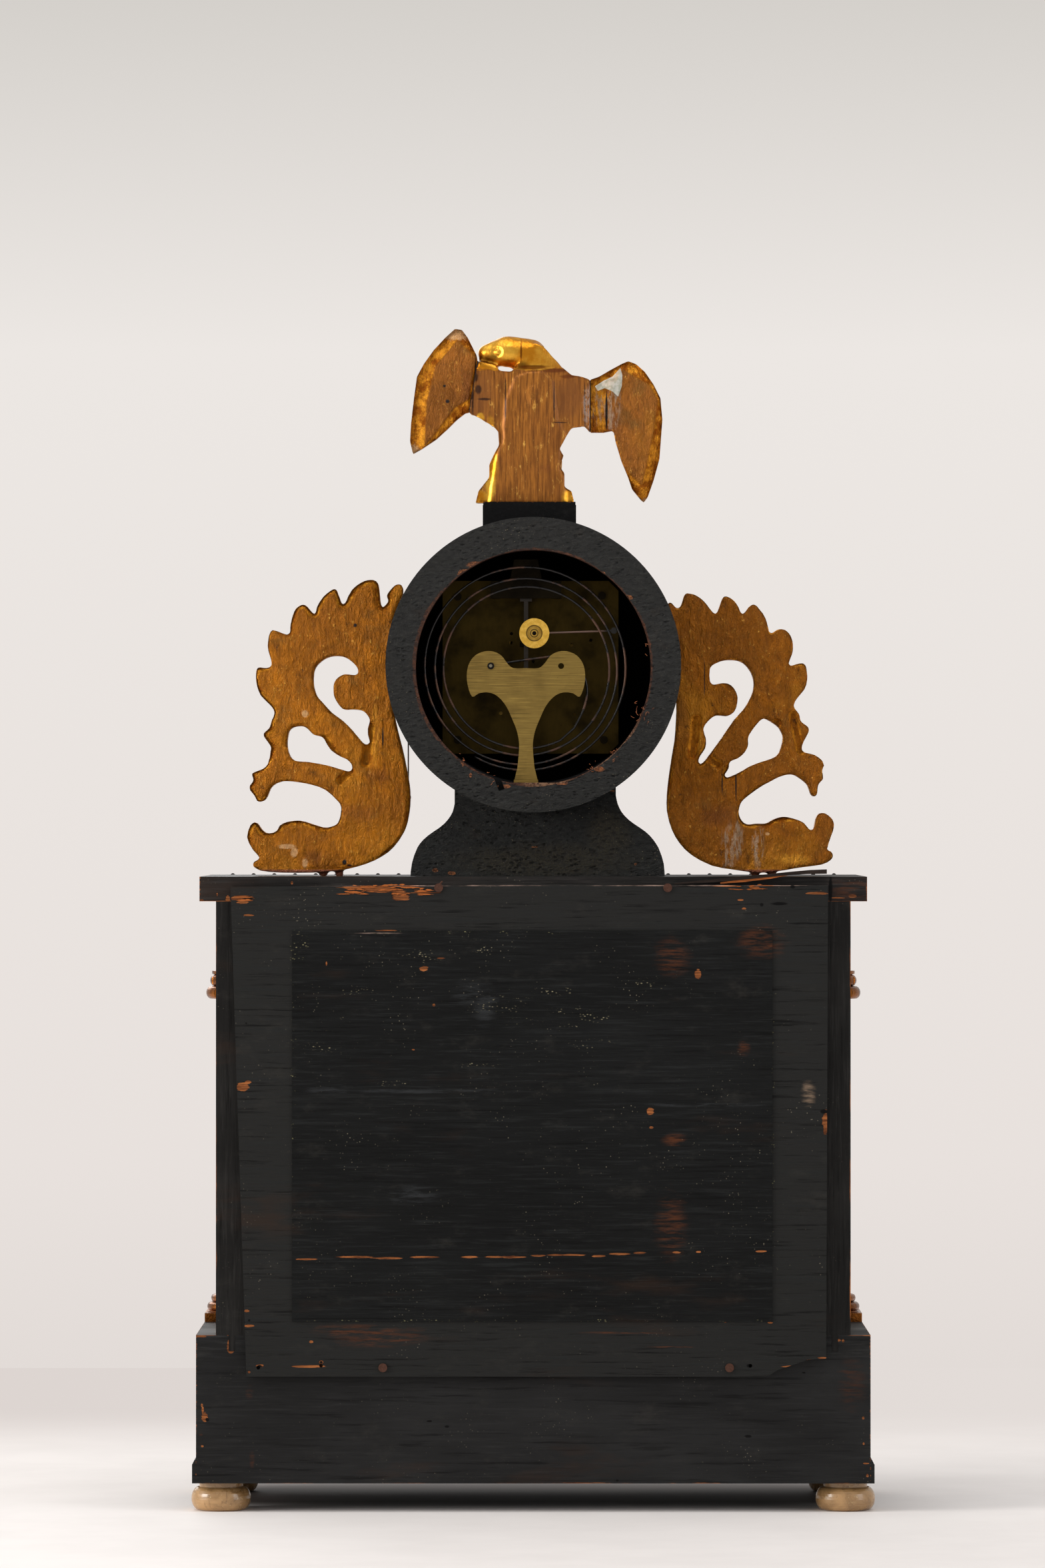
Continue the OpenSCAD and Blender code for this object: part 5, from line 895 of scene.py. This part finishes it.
def outside(xz, poly):
    """Distance in mm outside a polygon; 0 within it."""
    inside = np.zeros(len(xz), bool)
    best = np.full(len(xz), 1e9)
    m = len(poly)
    for i in range(m):
        a, b = poly[i], poly[(i + 1) % m]
        best = np.minimum(best, to_segment(xz, a, b)[0])
        crosses = (a[1] > xz[:, 1]) != (b[1] > xz[:, 1])
        with np.errstate(divide="ignore", invalid="ignore"):
            at = (b[0] - a[0]) * (xz[:, 1] - a[1]) / (b[1] - a[1]) + a[0]
        inside ^= crosses & (xz[:, 0] < at)
    return np.where(inside, 0, best)


def scallops(u, v, pitch):
    """Rows of overlapping round feather tips, 0..1."""
    row = np.floor(v / pitch)
    x = u / pitch + 0.5 * (row % 2)
    fx = x - np.floor(x) - 0.5
    fy = v / pitch - row
    tip = np.clip(1 - np.sqrt((fx * 1.7) ** 2 + (fy - 0.85) ** 2) * 0.9, 0, 1)
    return tip * (1 - 0.35 * np.exp(-(fx / 0.06) ** 2))


def carve_wing(node, field, root, tip):
    me = remeshed(node, 0.6 * MM, 2)
    p = points_of(me) / MM
    n = normals_of(me)
    lo, hi = (np.array(v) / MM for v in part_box(node))
    xz = p[:, [0, 2]]
    d = near_edge(xz, xz[(np.abs(n[:, 1]) < 0.55) & (p[:, 1] > lo[1] + 4.5)][::3])
    front = (p[:, 1] < hi[1] - 4) & ((n[:, 1] < -0.3) | (d > 0.9))
    back = (p[:, 1] > hi[1] - 3) & (n[:, 1] > 0.3)
    root, tip = np.array(root), np.array(tip)
    axis = (tip - root) / np.linalg.norm(tip - root)
    cross = np.array([axis[1], -axis[0]])
    s = (xz - root) @ axis
    t = (xz - root) @ cross
    ang = np.arctan2(t, s + 14)
    quill = np.abs(np.sin(ang * 15 + 0.4))
    barb = 0.12 * np.sin((s * 1.0 + np.abs(t)) * 4.2)
    scale = scallops(t, s, 5.2)
    far = smooth01(s, 15, 22)
    relief = (1 - far) * (0.2 + 1.3 * scale) + far * (0.2 + 1.2 * quill + barb)
    crown = 3.2 + 3.6 * smooth01(d, 0, 7)
    y_front = hi[1] - np.clip(crown + relief, 3.0, 10.0)
    p[front, 1] = y_front[front]
    off = outside(xz, field)
    drop = np.clip(off - 0.3, 0, 8) * 0.34 + 0.4 * smooth01(off, 0.1, 0.7) + 0.4 * np.exp(-(d / 0.7) ** 2)
    drop += (0.16 * np.clip(layers(p * np.array([2.2, 1, 0.5]), 0.5, 2, 4) + 0.4, 0, 2)
             + 0.2 * np.clip(layers(p, 0.2, 2, 8) + 0.2, 0, 1))
    p[back, 1] -= np.clip(drop, 0, 2.4)[back]
    put_points(me, p * MM)
    bevel = me.attributes.new("bevel", "FLOAT", "POINT")
    bevel.data.foreach_set("value", smooth01(off, 0.2, 0.8).astype(np.float32))
    ob = link(node + "_carved", me, eagle_gilt, "case")
    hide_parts(node)


def carve_body():
    me = remeshed("eagle_body", 0.7 * MM, 3)
    p = points_of(me) / MM
    n = normals_of(me)
    lo, hi = (np.array(v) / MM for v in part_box("eagle_body"))
    xz = p[:, [0, 2]]
    p = relaxed(me, p, p[:, 2] > 579, 14)
    high = p[:, 2] > 578
    grain = layers(p * np.array([2.6, 1, 0.22]), 0.55, 2, 2)
    lump = layers(p, 0.16, 3, 6)
    back = (n[:, 1] > 0.45)
    off = outside(xz, EAGLE_SLAB)
    drop = np.clip(off, 0, 1.6) * 0.75 + 0.2 * np.clip(grain + 0.35, 0, 2) + 0.45 * np.clip(lump + 0.2, 0, 2)
    drop = np.where(high, 0.5 * np.clip(lump + 0.3, 0, 2), drop)
    p[back, 1] -= np.clip(drop, 0, 2.4)[back]
    front = n[:, 1] < 0.1
    feather = scallops(xz[:, 0], -xz[:, 1] + 600, 4.6)
    legs = p[:, 2] < 522
    cut = np.where(high | legs, 0.4 * np.clip(lump + 0.4, 0, 2), 0.95 * (1 - feather))
    p[front] -= (n * cut[:, None])[front]
    # claws
    claws = legs & (p[:, 1] < hi[1] - 8)
    p[claws, 1] += 0.9 * np.abs(np.sin(xz[claws, 0] * 0.55))
    # eye: a round groove on either side of the head
    r = np.sqrt((p[:, 0] - 18.5) ** 2 + (p[:, 2] - 587.0) ** 2)
    ring = 0.8 * np.exp(-((r - 2.0) / 0.6) ** 2)
    top = p[:, 2] > 580
    p[top] -= (n * ring[:, None])[top]
    q = np.clip(p, lo + 0.02, hi - 0.02)
    put_points(me, q * MM)
    ob = link("eagle_body_carved", me, eagle_body_gilt, "case")
    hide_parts("eagle_body")


def gilt_eagle_body():
    m = Mat("eagle_body_gilt")
    grain = m.noise(1000, (1, 1, 0.06), 4, 0.65, 0.2)
    lump = m.noise(120, (1, 1, 0.6), 4, 0.6, 0.8)
    tone = m.noise(60, (1, 1, 0.7), 4, 0.6)
    m.color = m.mix(m.step(grain, 0.3, 0.7), rgb(104, 58, 14), rgb(172, 108, 38))
    m.lay(rgb(120, 68, 24), tone, 0.42, 0.7, 0.4)
    m.lay(rgb(232, 178, 84), m.noise(420, (1, 1, 0.35), 5, 0.75), 0.58, 0.7, 0.75)
    m.lay(rgb(120, 64, 26), m.cloud(48, 4, 0.6), 0.58, 0.7, 0.4)
    m.over(m.blob([(30, 566, 9, 13), (-18, 563, 8, 11)], 0.4, 120, 0.5), rgb(120, 72, 34), 0.6)
    head = m.step(m.mad(m.cloud(120, 4, 0.7), 0.006, m.axis(2)), 580.6 * MM, 581.6 * MM)
    places = [(22, 532, 3.4, 20), (28, 511, 7, 5), (-20, 512, 5, 5), (27, 553.5, 2, 2.4)]
    bright = m.most(m.mul(head, m.step(m.axis(0), -16 * MM, 0.0, 0.35, 1.0)), m.blob(places, 0.3, 200, 0.25),
                    m.step(m.facing(1), 0.55, 0.2))
    leaf_color = m.mix(m.step(m.cloud(90, 4, 0.6), 0.36, 0.68), rgb(196, 126, 28), rgb(234, 178, 66))
    leaf_color = m.mix(m.step(m.cloud(80, 5, 0.65), 0.62, 0.74, 0, 0.6), leaf_color, rgb(104, 54, 14))
    # Painted shade in the hollows along the underside of the head
    hollow_shade = m.blob([(28, 582.5, 7, 1.8), (22, 584, 5, 1.6), (6, 580, 3, 2.2)], 0.4, 160, 0.6)
    leaf_color = m.mix(m.mul(hollow_shade, 0.75), leaf_color, rgb(66, 36, 8))
    m.over(bright, leaf_color)
    # Painted shade in the fold under the head and in a crease of the head
    rim = m.blob([(0, 579.3, 8, 1.1), (-11, 577.6, 7, 1.0), (-17.5, 574.5, 3.5, 0.9), (6.2, 588, 0.5, 5)],
                 0.7, 400, 0.4, (0.5, 1, 1))
    m.over(rim, rgb(104, 50, 10), 0.85)
    crack = m.blob([(30.9, 569, 0.5, 14), (-26.3, 560, 0.35, 12), (29.5, 574, 1.2, 2.2), (28, 568, 1.6, 2.2),
                    (25, 563, 3.4, 0.6), (14.2, 562, 0.4, 12), (-14, 551, 4, 0.3), (-10.6, 562, 0.4, 9)],
                   0.5, 300, 0.3)
    m.over(crack, rgb(40, 20, 12), 0.85)
    tape = m.mul(m.blob([(-28.5, 559, 3, 10)], 0.3, 500, 0.3), m.step(m.noise(900, (1, 1, 0.5), 4, 0.7), 0.4, 0.56))
    m.over(tape, rgb(166, 150, 140), 0.6)
    metal = m.mad(bright, 0.55, 0.4)
    n = m.bump(lump, 0.4, 0.0012)
    n = m.bump(grain, 0.5, 0.0004, n)
    rough = m.mad(bright, -0.1, 0.4)
    return m.done(m.color, rough, metal, n, Specular_IOR_Level=0.3)


eagle_body_gilt = gilt_eagle_body()
eagle_gilt = gilt_back(
    "eagle_wing_gilt", rgb(146, 88, 28), relief=0.8,
    tape=[(-33.5, 560, 3.8, 9), (-41, 562, 3.4, 10), (-40, 552, 3, 5)],
    pale=[(39, 597, 7.5, 3.6), (61, 536.2, 3.2, 3.4), (-57, 511, 1.4, 1.4)],
    cracks=[(29.6, 571, 0.5, 14), (-37.4, 557, 0.6, 10), (45.4, 569.8, 0.8, 0.7), (43.8, 561.9, 1.0, 0.9)],
    stains=[(-40, 548, 5, 8), (34, 566, 3, 12)],
    leaf_at=lambda m: m.node("ShaderNodeAttribute", attribute_name="bevel").outputs["Fac"])
carve_wing("eagle_wing_left", WING_LEFT_FIELD, (30, 574), (60, 536))
carve_wing("eagle_wing_right", WING_RIGHT_FIELD, (-31, 562), (-57, 512))
carve_body()


def tape():
    """Clear tape that holds the right wing: a creased thin strip with a folded corner."""
    pts = np.array([(-31.5, 569.5), (-36, 572.5), (-40.5, 574.5), (-44.5, 579.0), (-45.5, 575), (-45.2, 569.5),
                    (-43.4, 564.2), (-40.3, 567), (-36.5, 568.6), (-33, 567.2)])
    y = 6.15
    verts, faces = [], []
    c = pts.mean(0)
    rings = 5
    for i in range(rings):
        f = 1 - i / rings
        for k, q in enumerate(pts):
            v = c + (q - c) * f
            w = 0.22 * math.sin(v[0] * 2.1 + v[1] * 1.3) + 0.16 * math.sin(v[0] * 5.3)
            verts.append((v[0] * MM, (y + 0.25 + w) * MM, v[1] * MM))
    m = len(pts)
    for i in range(rings - 1):
        for k in range(m):
            a, b = i * m + k, i * m + (k + 1) % m
            faces.append((a, b, b + m, a + m))
    faces.append(tuple(range((rings - 1) * m, rings * m)))
    me = bpy.data.meshes.new("wing_tape")
    me.from_pydata(verts, [], faces)
    film = Mat("clear_tape")
    g = film.cloud(500, 3, 0.6)
    color = film.mix(film.step(g, 0.4, 0.6), rgb(226, 228, 218), rgb(190, 196, 180))
    mat = film.done(color, 0.18, 0.0, film.bump(g, 0.4, 0.0006), Alpha=0.42, IOR=1.45)
    ob = link("wing_tape", me, mat, "case")
    sol = ob.modifiers.new("thickness", "SOLIDIFY")
    sol.thickness = 0.00008


tape()


def gap_shade_strips():
    """Dark strips in the open joints of the two wings: painted shade in the gaps."""
    parts = []
    for (x0, z0), (x1, z1) in (((28.35, 582.6), (32.75, 556.3)), ((-28.95, 572.6), (-28.95, 546.4))):
        parts.append(prism([(x0 - 0.3, z0), (x0 + 0.3, z0), (x1 + 0.3, z1), (x1 - 0.3, z1)], 1.0, 5.2))
    piece("wing_gap_shade", parts, plain("gap_shade", rgb(40, 22, 14), 0.5), "case", False)


# Wires and cords

def frames_along(pts):
    """Two cross directions at each point of a path (n x 3)."""
    t = np.gradient(pts, axis=0)
    t /= np.linalg.norm(t, axis=1)[:, None]
    u = np.cross(t[0], [0.0, 1.0, 0.0])
    if np.linalg.norm(u) < 1e-3:
        u = np.cross(t[0], [1.0, 0.0, 0.0])
    us = [u / np.linalg.norm(u)]
    for i in range(1, len(pts)):
        v = us[-1] - t[i] * (us[-1] @ t[i])
        us.append(v / np.linalg.norm(v))
    us = np.array(us)
    return us, np.cross(t, us)


def tube(pts, radii, sides):
    """Closed tube along points in mm: (vertices in m, faces)."""
    pts = np.array(pts, float)
    radii = np.broadcast_to(radii, (len(pts),))
    u, v = frames_along(pts)
    a = 2 * np.pi * np.arange(sides) / sides
    round_ = np.cos(a)[None, :, None] * u[:, None] + np.sin(a)[None, :, None] * v[:, None]
    verts = (pts[:, None] + radii[:, None, None] * round_).reshape(-1, 3) * MM
    faces = []
    for i in range(len(pts) - 1):
        for k in range(sides):
            q = (k + 1) % sides
            faces.append((i * sides + k, i * sides + q, (i + 1) * sides + q, (i + 1) * sides + k))
    faces.append(tuple(reversed(range(sides))))
    faces.append(tuple((len(pts) - 1) * sides + k for k in range(sides)))
    return verts.tolist(), faces


def joined(parts):
    verts, faces = [], []
    for v, f in parts:
        k = len(verts)
        verts += [tuple(q) for q in v]
        faces += [tuple(i + k for i in g) for g in f]
    return verts, faces


def piece(name, parts, mat, body, smooth=True):
    me = bpy.data.meshes.new(name)
    verts, faces = joined(parts)
    me.from_pydata(verts, [], faces)
    me.validate()
    return link(name, me, mat, body, smooth)


def prism(outline, y0, y1):
    """A flat polygon given as (x, z) in mm, from depth y0 to y1."""
    n = len(outline)
    verts = [(x * MM, y * MM, z * MM) for y in (y0, y1) for x, z in outline]
    faces = [tuple(range(n)), tuple(reversed(range(n, 2 * n)))]
    return verts, faces + [(i, i + n, (i + 1) % n + n, (i + 1) % n) for i in range(n)]


def curve_through(p, n):
    """Catmull-Rom curve through points."""
    p = np.array(p, float)
    out = []
    k = len(p) - 1
    for i in range(k):
        a, b, c, d = p[max(i - 1, 0)], p[i], p[i + 1], p[min(i + 2, k)]
        for j in range(n):
            t = j / n
            bend = (2 * a - 5 * b + 4 * c - d) * t * t + (3 * b - a - 3 * c + d) * t ** 3
            out.append(0.5 * (2 * b + (c - a) * t + bend))
    out.append(p[k])
    return np.array(out)


def gong():
    inner = curve_through([(15.35, 1.8), (7.5, 3.4), (-8, 5.6), (-18.5, 6.4), (-25.5, 2.5), (-29.5, -4), (-31, -12),
                           (-29, -21), (-24.5, -30)], 8)
    # radius at each quarter turn, from the bottom of the innermost turn on
    quarters = (40.7, 41.1, 41.9, 40.9, 42.3, 44.6, 46.2, 45.1, 46.2, 49.3, 51.4, 50.9, 50.6, 52.2, 52.2)
    r = curve_through([(q, 0) for q in quarters], 18)[:, 0]
    at = np.linspace(180, 180 + 90 * 14, len(r))
    keep = (at >= 245) & (at <= 1384)
    r, ang = r[keep], np.radians(at[keep])
    ring = np.column_stack([r * np.cos(ang), r * np.sin(ang) + 0.7])
    xz = np.vstack([inner, ring])
    along = np.arange(len(xz))
    y = 34 + 0.25 * np.sin(along * 0.047) * np.clip((along - len(inner)) / 60, 0, 1)
    pts = np.column_stack([xz[:, 0] + 3.7, y, xz[:, 1] + DRUM_Z - 4.1])
    ob = piece("gong_wire", [tube(pts, 0.6, 12)], gong_steel, "case")
    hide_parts("gong")


gong()


def repeat_cord():
    x, y, top, low = CORD_X, CORD_Y, CORD_TOP, CORD_LOW
    z = np.linspace(top, low, 150)
    pts = np.column_stack([np.full(150, x), np.full(150, y), z])
    turns = (top - z) / 1.5 * 2 * np.pi
    parts = []
    for k in range(3):
        a = turns + k * 2 * np.pi / 3
        q = pts + np.column_stack([0.19 * np.cos(a), 0.19 * np.sin(a), np.zeros(150)])
        parts.append(tube(q, 0.2, 7))
    m = Mat("linen_cord")
    g = m.noise(2600, (1, 1, 0.3), 3, 0.6)
    mat = m.done(m.mix(m.step(g, 0.35, 0.65), rgb(46, 30, 20), rgb(104, 76, 52)), 0.8, 0.0, m.bump(g, 0.4, 0.0001),
                 Specular_IOR_Level=0.1)
    ob = piece("cord_strands", parts, mat, "repeat")
    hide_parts("repeat_cord")


repeat_cord()


# Dial: chapter ring and hour strokes laid on the enamel

def dial_marks():
    lo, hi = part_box("dial")
    y = lo[1] / MM - 0.02
    parts = []

    def strip(points):
        parts.append(prism([(x, DRUM_Z + z) for x, z in points], y + 0.01, y - 0.03))

    def stroke(r0, r1, w, a, shift=0.0, slant=0.0):
        """From radius r0 to r1, a clockwise from twelve as seen from the front; shift and slant run sideways."""
        c, s = math.cos(a), math.sin(a)
        near, far = shift - slant, shift + slant
        strip([(s * r + c * q, c * r - s * q)
               for r, q in ((r0, near - w / 2), (r0, near + w / 2), (r1, far + w / 2), (r1, far - w / 2))])

    for r in (50.2, 47.6):
        for i in range(120):
            a, b = 2 * math.pi * i / 120, 2 * math.pi * (i + 1) / 120
            strip([(k * math.sin(v), k * math.cos(v)) for k, v in ((r, a), (r, b), (r + 0.25, b), (r + 0.25, a))])
    for i in range(60):
        stroke(47.7, 50.3, 0.9 if i % 5 == 0 else 0.3, math.radians(6 * i))
    numerals = ["XII", "I", "II", "III", "IIII", "V", "VI", "VII", "VIII", "IX", "X", "XI"]
    r0, r1 = 36.5, 45.8
    widths = {"I": 2.3, "V": 4.8, "X": 5.0}
    for k, word in enumerate(numerals):
        a = math.radians(30 * k)
        q = -sum(widths[c] for c in word) / 2
        for c in word:
            mid = q + widths[c] / 2
            if c == "I":
                stroke(r0, r1, 1.15, a, mid)
            elif c == "V":
                stroke(r0, r1, 1.2, a, mid - 0.85, -0.95)
                stroke(r0, r1, 0.4, a, mid + 0.95, 0.95)
            else:
                stroke(r0, r1, 1.2, a, mid, -1.7)
                stroke(r0, r1, 0.4, a, mid, 1.7)
            for r in (r0 - 0.15, r1):
                stroke(r, r + 0.25, widths[c] - 0.4, a, mid)
            q += widths[c]
    ink = plain("dial_ink", rgb(18, 17, 18), 0.35, 0.0, 600, 0.05)
    piece("dial_marks", parts, ink, "case", False)


dial_marks()


# Splinters, a bent nail and loose fibres

splinter_wood = ebony("splinter_wood", tint=rgb(150, 84, 40), ridge=0.6, specks=0.2, rough=0.6, ridge_scale=900,
                      ridge_color=1.5)
splinter_dark = ebony("splinter_dark", tint=rgb(36, 28, 24), ridge=0.6, specks=0.4, ridge_scale=900)


def sliver(a, b, w, h, seed, bend=0.0):
    """A pointed chip from a to b (mm), w high and h thick, with torn sides."""
    rng = np.random.default_rng(seed)
    a, b = np.array(a, float), np.array(b, float)
    n = 14
    t = np.linspace(0, 1, n)
    prof = np.sin(np.clip(t * 1.15, 0, 1) * np.pi) ** 0.55 * (0.75 + 0.25 * rng.random(n))
    prof[0] = prof[-1] = 0.05
    mid = a + (b - a) * t[:, None]
    mid[:, 1] += bend * np.sin(t * np.pi / 2) ** 2
    up = np.cross((b - a) / np.linalg.norm(b - a), [0, 1, 0])
    verts, faces = [], []
    for i in range(n):
        wob = (rng.random(2) - 0.5) * 0.25 * w
        lo_, hi_ = mid[i] - up * (w / 2 * prof[i] + wob[0]), mid[i] + up * (w / 2 * prof[i] + wob[1])
        for q, y in ((lo_, -h / 2), (lo_, h / 2), (hi_, h / 2 * 0.6), (hi_, -h / 2)):
            verts.append(((q + np.array([0, y * (0.3 + 0.7 * prof[i]), 0])) * MM).tolist())
    for i in range(n - 1):
        for k in range(4):
            q = (k + 1) % 4
            faces.append((i * 4 + k, (i + 1) * 4 + k, (i + 1) * 4 + q, i * 4 + q))
    faces += [(0, 1, 2, 3), tuple((n - 1) * 4 + k for k in (3, 2, 1, 0))]
    return verts, faces


def plank(upper, lower, y0, y1):
    """A thin strip between two edges given as (x, z) in mm, from depth y0 to y1."""
    ring = list(upper) + list(reversed(lower))
    n = len(ring)
    verts = [(x * MM, y * MM, z * MM) for y in (y0, y1) for x, z in ring]
    faces = [(i, (i + 1) % n, n + (i + 1) % n, n + i) for i in range(n)]
    k = len(upper)
    for i in range(k - 1):
        j = n - 1 - i
        faces += [(i, j, j - 1, i + 1), (n + i, n + i + 1, n + j - 1, n + j)]
    return verts, faces


def broken_edges():
    face = PANEL_FACE - 0.25
    torn = []
    rng = np.random.default_rng(7)
    for x0, x1, z0, z1, count in ((96, 50, 310.2, 315.2, 34), (92, 60, 313.2, 316.0, 14),
                                  (-100, -118, 313.2, 315.4, 8), (146, 142, 306, 309.5, 5)):
        for _ in range(count):
            x = x0 + (x1 - x0) * rng.random()
            z = z0 + (z1 - z0) * rng.random()
            long_ = 2.5 + 7 * rng.random() ** 2
            end = (x - long_ / 2, face + 0.1, z + (rng.random() - 0.5) * 0.8)
            torn.append(sliver((x + long_ / 2, face, z), end, 0.3 + 0.6 * rng.random(), 0.35,
                               int(rng.integers(1e6)), 0.25 * rng.random()))
    piece("torn_wood", torn, splinter_wood, "case", False)
    top = [(-147.4, 323.2), (-139, 322.9), (-128, 321.9), (-118, 320.8), (-107, 319.9), (-90, 318.2), (-71, 316.3)]
    middle = [(-147.4, 321.0), (-137, 320.8), (-128, 320.3), (-118, 319.4), (-107, 318.2), (-90, 316.7),
              (-71, 315.7)]
    under = [(-129.7, 321.0), (-118.7, 319.6), (-110.4, 318.7), (-106.7, 318.5), (-93.9, 316.6)]
    low = [(-129.7, 320.6), (-118.7, 318.4), (-110.4, 317.5), (-106.7, 316.9), (-93.9, 316.0)]
    piece("lifted_splinter", [plank(top, middle, 70.2, 74.4)], splinter_dark, "case", False)
    piece("lifted_splinter_under", [plank(under, low, 70.8, 74.1)], splinter_wood, "case", False)


broken_edges()


def bent_nail():
    nail = curve_through([(47.8, 74.2, 314.4), (47.6, 74.8, 314.7), (47.0, 74.9, 315.6), (46.2, 74.9, 316.6),
                          (45.6, 74.8, 317.3)], 6)
    piece("bent_nail", [tube(nail, np.linspace(0.55, 0.4, len(nail)), 8)], iron, "case")


bent_nail()


def fibres():
    """Loose fibres at the sawn rim of the drum's opening."""
    rng = np.random.default_rng(11)
    parts = []
    spots = [(-55.6, 401.5, 14, 4.5), (-41, 381, 8, 3), (-30, 374.5, 8, 3), (36, 378, 5, 2.5), (-57.5, 436, 5, 3),
             (20, 368.5, 5, 3)]
    for cx, cz, count, size in spots:
        for _ in range(count):
            a0 = np.array([cx + rng.normal() * size * 0.5, 45.0 + 0.2 * rng.random(),
                           cz + rng.normal() * size * 0.7])
            d = rng.normal(size=3)
            d[1] = abs(d[1]) * 0.3
            d = d / np.linalg.norm(d) * size * (0.25 + 0.3 * rng.random())
            side = rng.normal(size=3) * size * 0.12
            side[1] = 0
            pts = curve_through([a0, a0 + d * 0.5 + side, a0 + d], 5)
            parts.append(tube(pts, np.linspace(0.1, 0.05, len(pts)), 4))
    m = Mat("loose_fibre")
    mat = m.done(m.mix(m.step(m.noise(300), 0.4, 0.6), rgb(110, 56, 30), rgb(176, 108, 66)), 0.8)
    piece("rim_fibres", parts, mat, "case")


fibres()
gap_shade_strips()


# Floor, backdrop and light

def floor():
    me = bpy.data.meshes.new("floor")
    me.from_pydata([(-9, -0.95, 0), (9, -0.95, 0), (9, 9, 0), (-9, 9, 0)], [], [(0, 1, 2, 3)])
    ob = bpy.data.objects.new("floor", me)
    scene.collection.objects.link(ob)
    m = Mat("floor")
    along = m.axis(1)
    # Painted shadow on the floor under the clock and in front of it, darkest just beneath the base
    under = m.mul(m.step(m.calc("ABSOLUTE", m.axis(0)), 0.172, 0.15),
                  m.mul(m.step(along, 0.055, 0.005), m.step(along, -0.2, -0.05)))
    paper = m.mix(m.step(m.cloud(14, 4, 0.6), 0.3, 0.7), rgb(226, 221, 219), rgb(231, 226, 224))
    m.done(m.mix(m.mul(under, 0.93), paper, rgb(44, 30, 24)), 0.7, Specular_IOR_Level=0.08)
    foot_of_wall = m.mix(m.step(m.axis(0), -0.35, 0.35), rgb(227, 220, 216), rgb(221, 213, 209))
    glow = m.node("ShaderNodeEmission", {"Color": foot_of_wall, "Strength": 1.0}).outputs[0]
    seen = m.node("ShaderNodeLightPath").outputs["Is Camera Ray"]
    both = m.node("ShaderNodeMixShader", {0: m.mul(m.step(along, -0.2, -0.62), seen), 1: m.b.outputs[0], 2: glow})
    m.put(m.t.nodes["Material Output"].inputs["Surface"], both.outputs[0])
    me.materials.append(m.m)


# A plain pale wall: brightest at the middle, shaded towards its foot and its top
WALL = [(-0.08, (224, 217, 213)), (-0.045, (232, 225, 221)), (0.06, (236, 231, 227)), (0.105, (212, 208, 203))]


def world():
    w = bpy.data.worlds.new("world")
    scene.world = w
    w.use_nodes = True
    t = Nodes(w.node_tree)
    ambient = w.node_tree.nodes["Background"]
    t.put(ambient.inputs["Color"], rgb(255, 253, 250))
    t.put(ambient.inputs["Strength"], 0.62)
    up = t.axes(t.node("ShaderNodeTexCoord").outputs["Generated"])[2]
    ramp = t.node("ShaderNodeValToRGB", {0: t.node("ShaderNodeMapRange", {0: up, 1: -0.11, 2: 0.11}).outputs[0]})
    stops = ramp.color_ramp.elements
    while len(stops) < len(WALL):
        stops.new(0.5)
    for stop, (height, color) in zip(stops, WALL):
        stop.position = (height + 0.11) / 0.22
        stop.color = (*rgb(*color), 1)
    wall = t.node("ShaderNodeBackground", {"Color": ramp.outputs[0]})
    ray = t.node("ShaderNodeLightPath").outputs
    seen = t.calc("MAXIMUM", ray["Is Camera Ray"], ray["Is Transmission Ray"])
    both = t.node("ShaderNodeMixShader", {0: seen, 1: ambient.outputs[0], 2: wall.outputs[0]})
    t.put(w.node_tree.nodes["World Output"].inputs["Surface"], both.outputs[0])


def lamp(name, at, aim, size, power, color=(1, 1, 1)):
    data = bpy.data.lights.new(name, "AREA")
    data.shape = "RECTANGLE"
    data.size, data.size_y = size
    data.energy = power
    data.color = color
    ob = bpy.data.objects.new(name, data)
    ob.location = at
    ob.rotation_euler = (Vector(aim) - Vector(at)).to_track_quat("-Z", "Y").to_euler()
    scene.collection.objects.link(ob)


floor()
world()
lamp("left_box", (2.1, 0.75, 0.75), (0, 0, 0.3), (1.0, 1.0), 42, (1, 0.97, 0.93))
lamp("right_box", (-2.1, 1.2, 0.9), (0, 0, 0.3), (0.9, 1.6), 14, (0.98, 0.98, 1))
lamp("top_box", (0.1, 0.6, 2.3), (0, 0, 0.2), (1.6, 1.2), 16)
lamp("front_box", (0.8, -2.2, 1.3), (0, 0, 0.3), (1.4, 1.2), 14)

scene.view_settings.view_transform = "Standard"
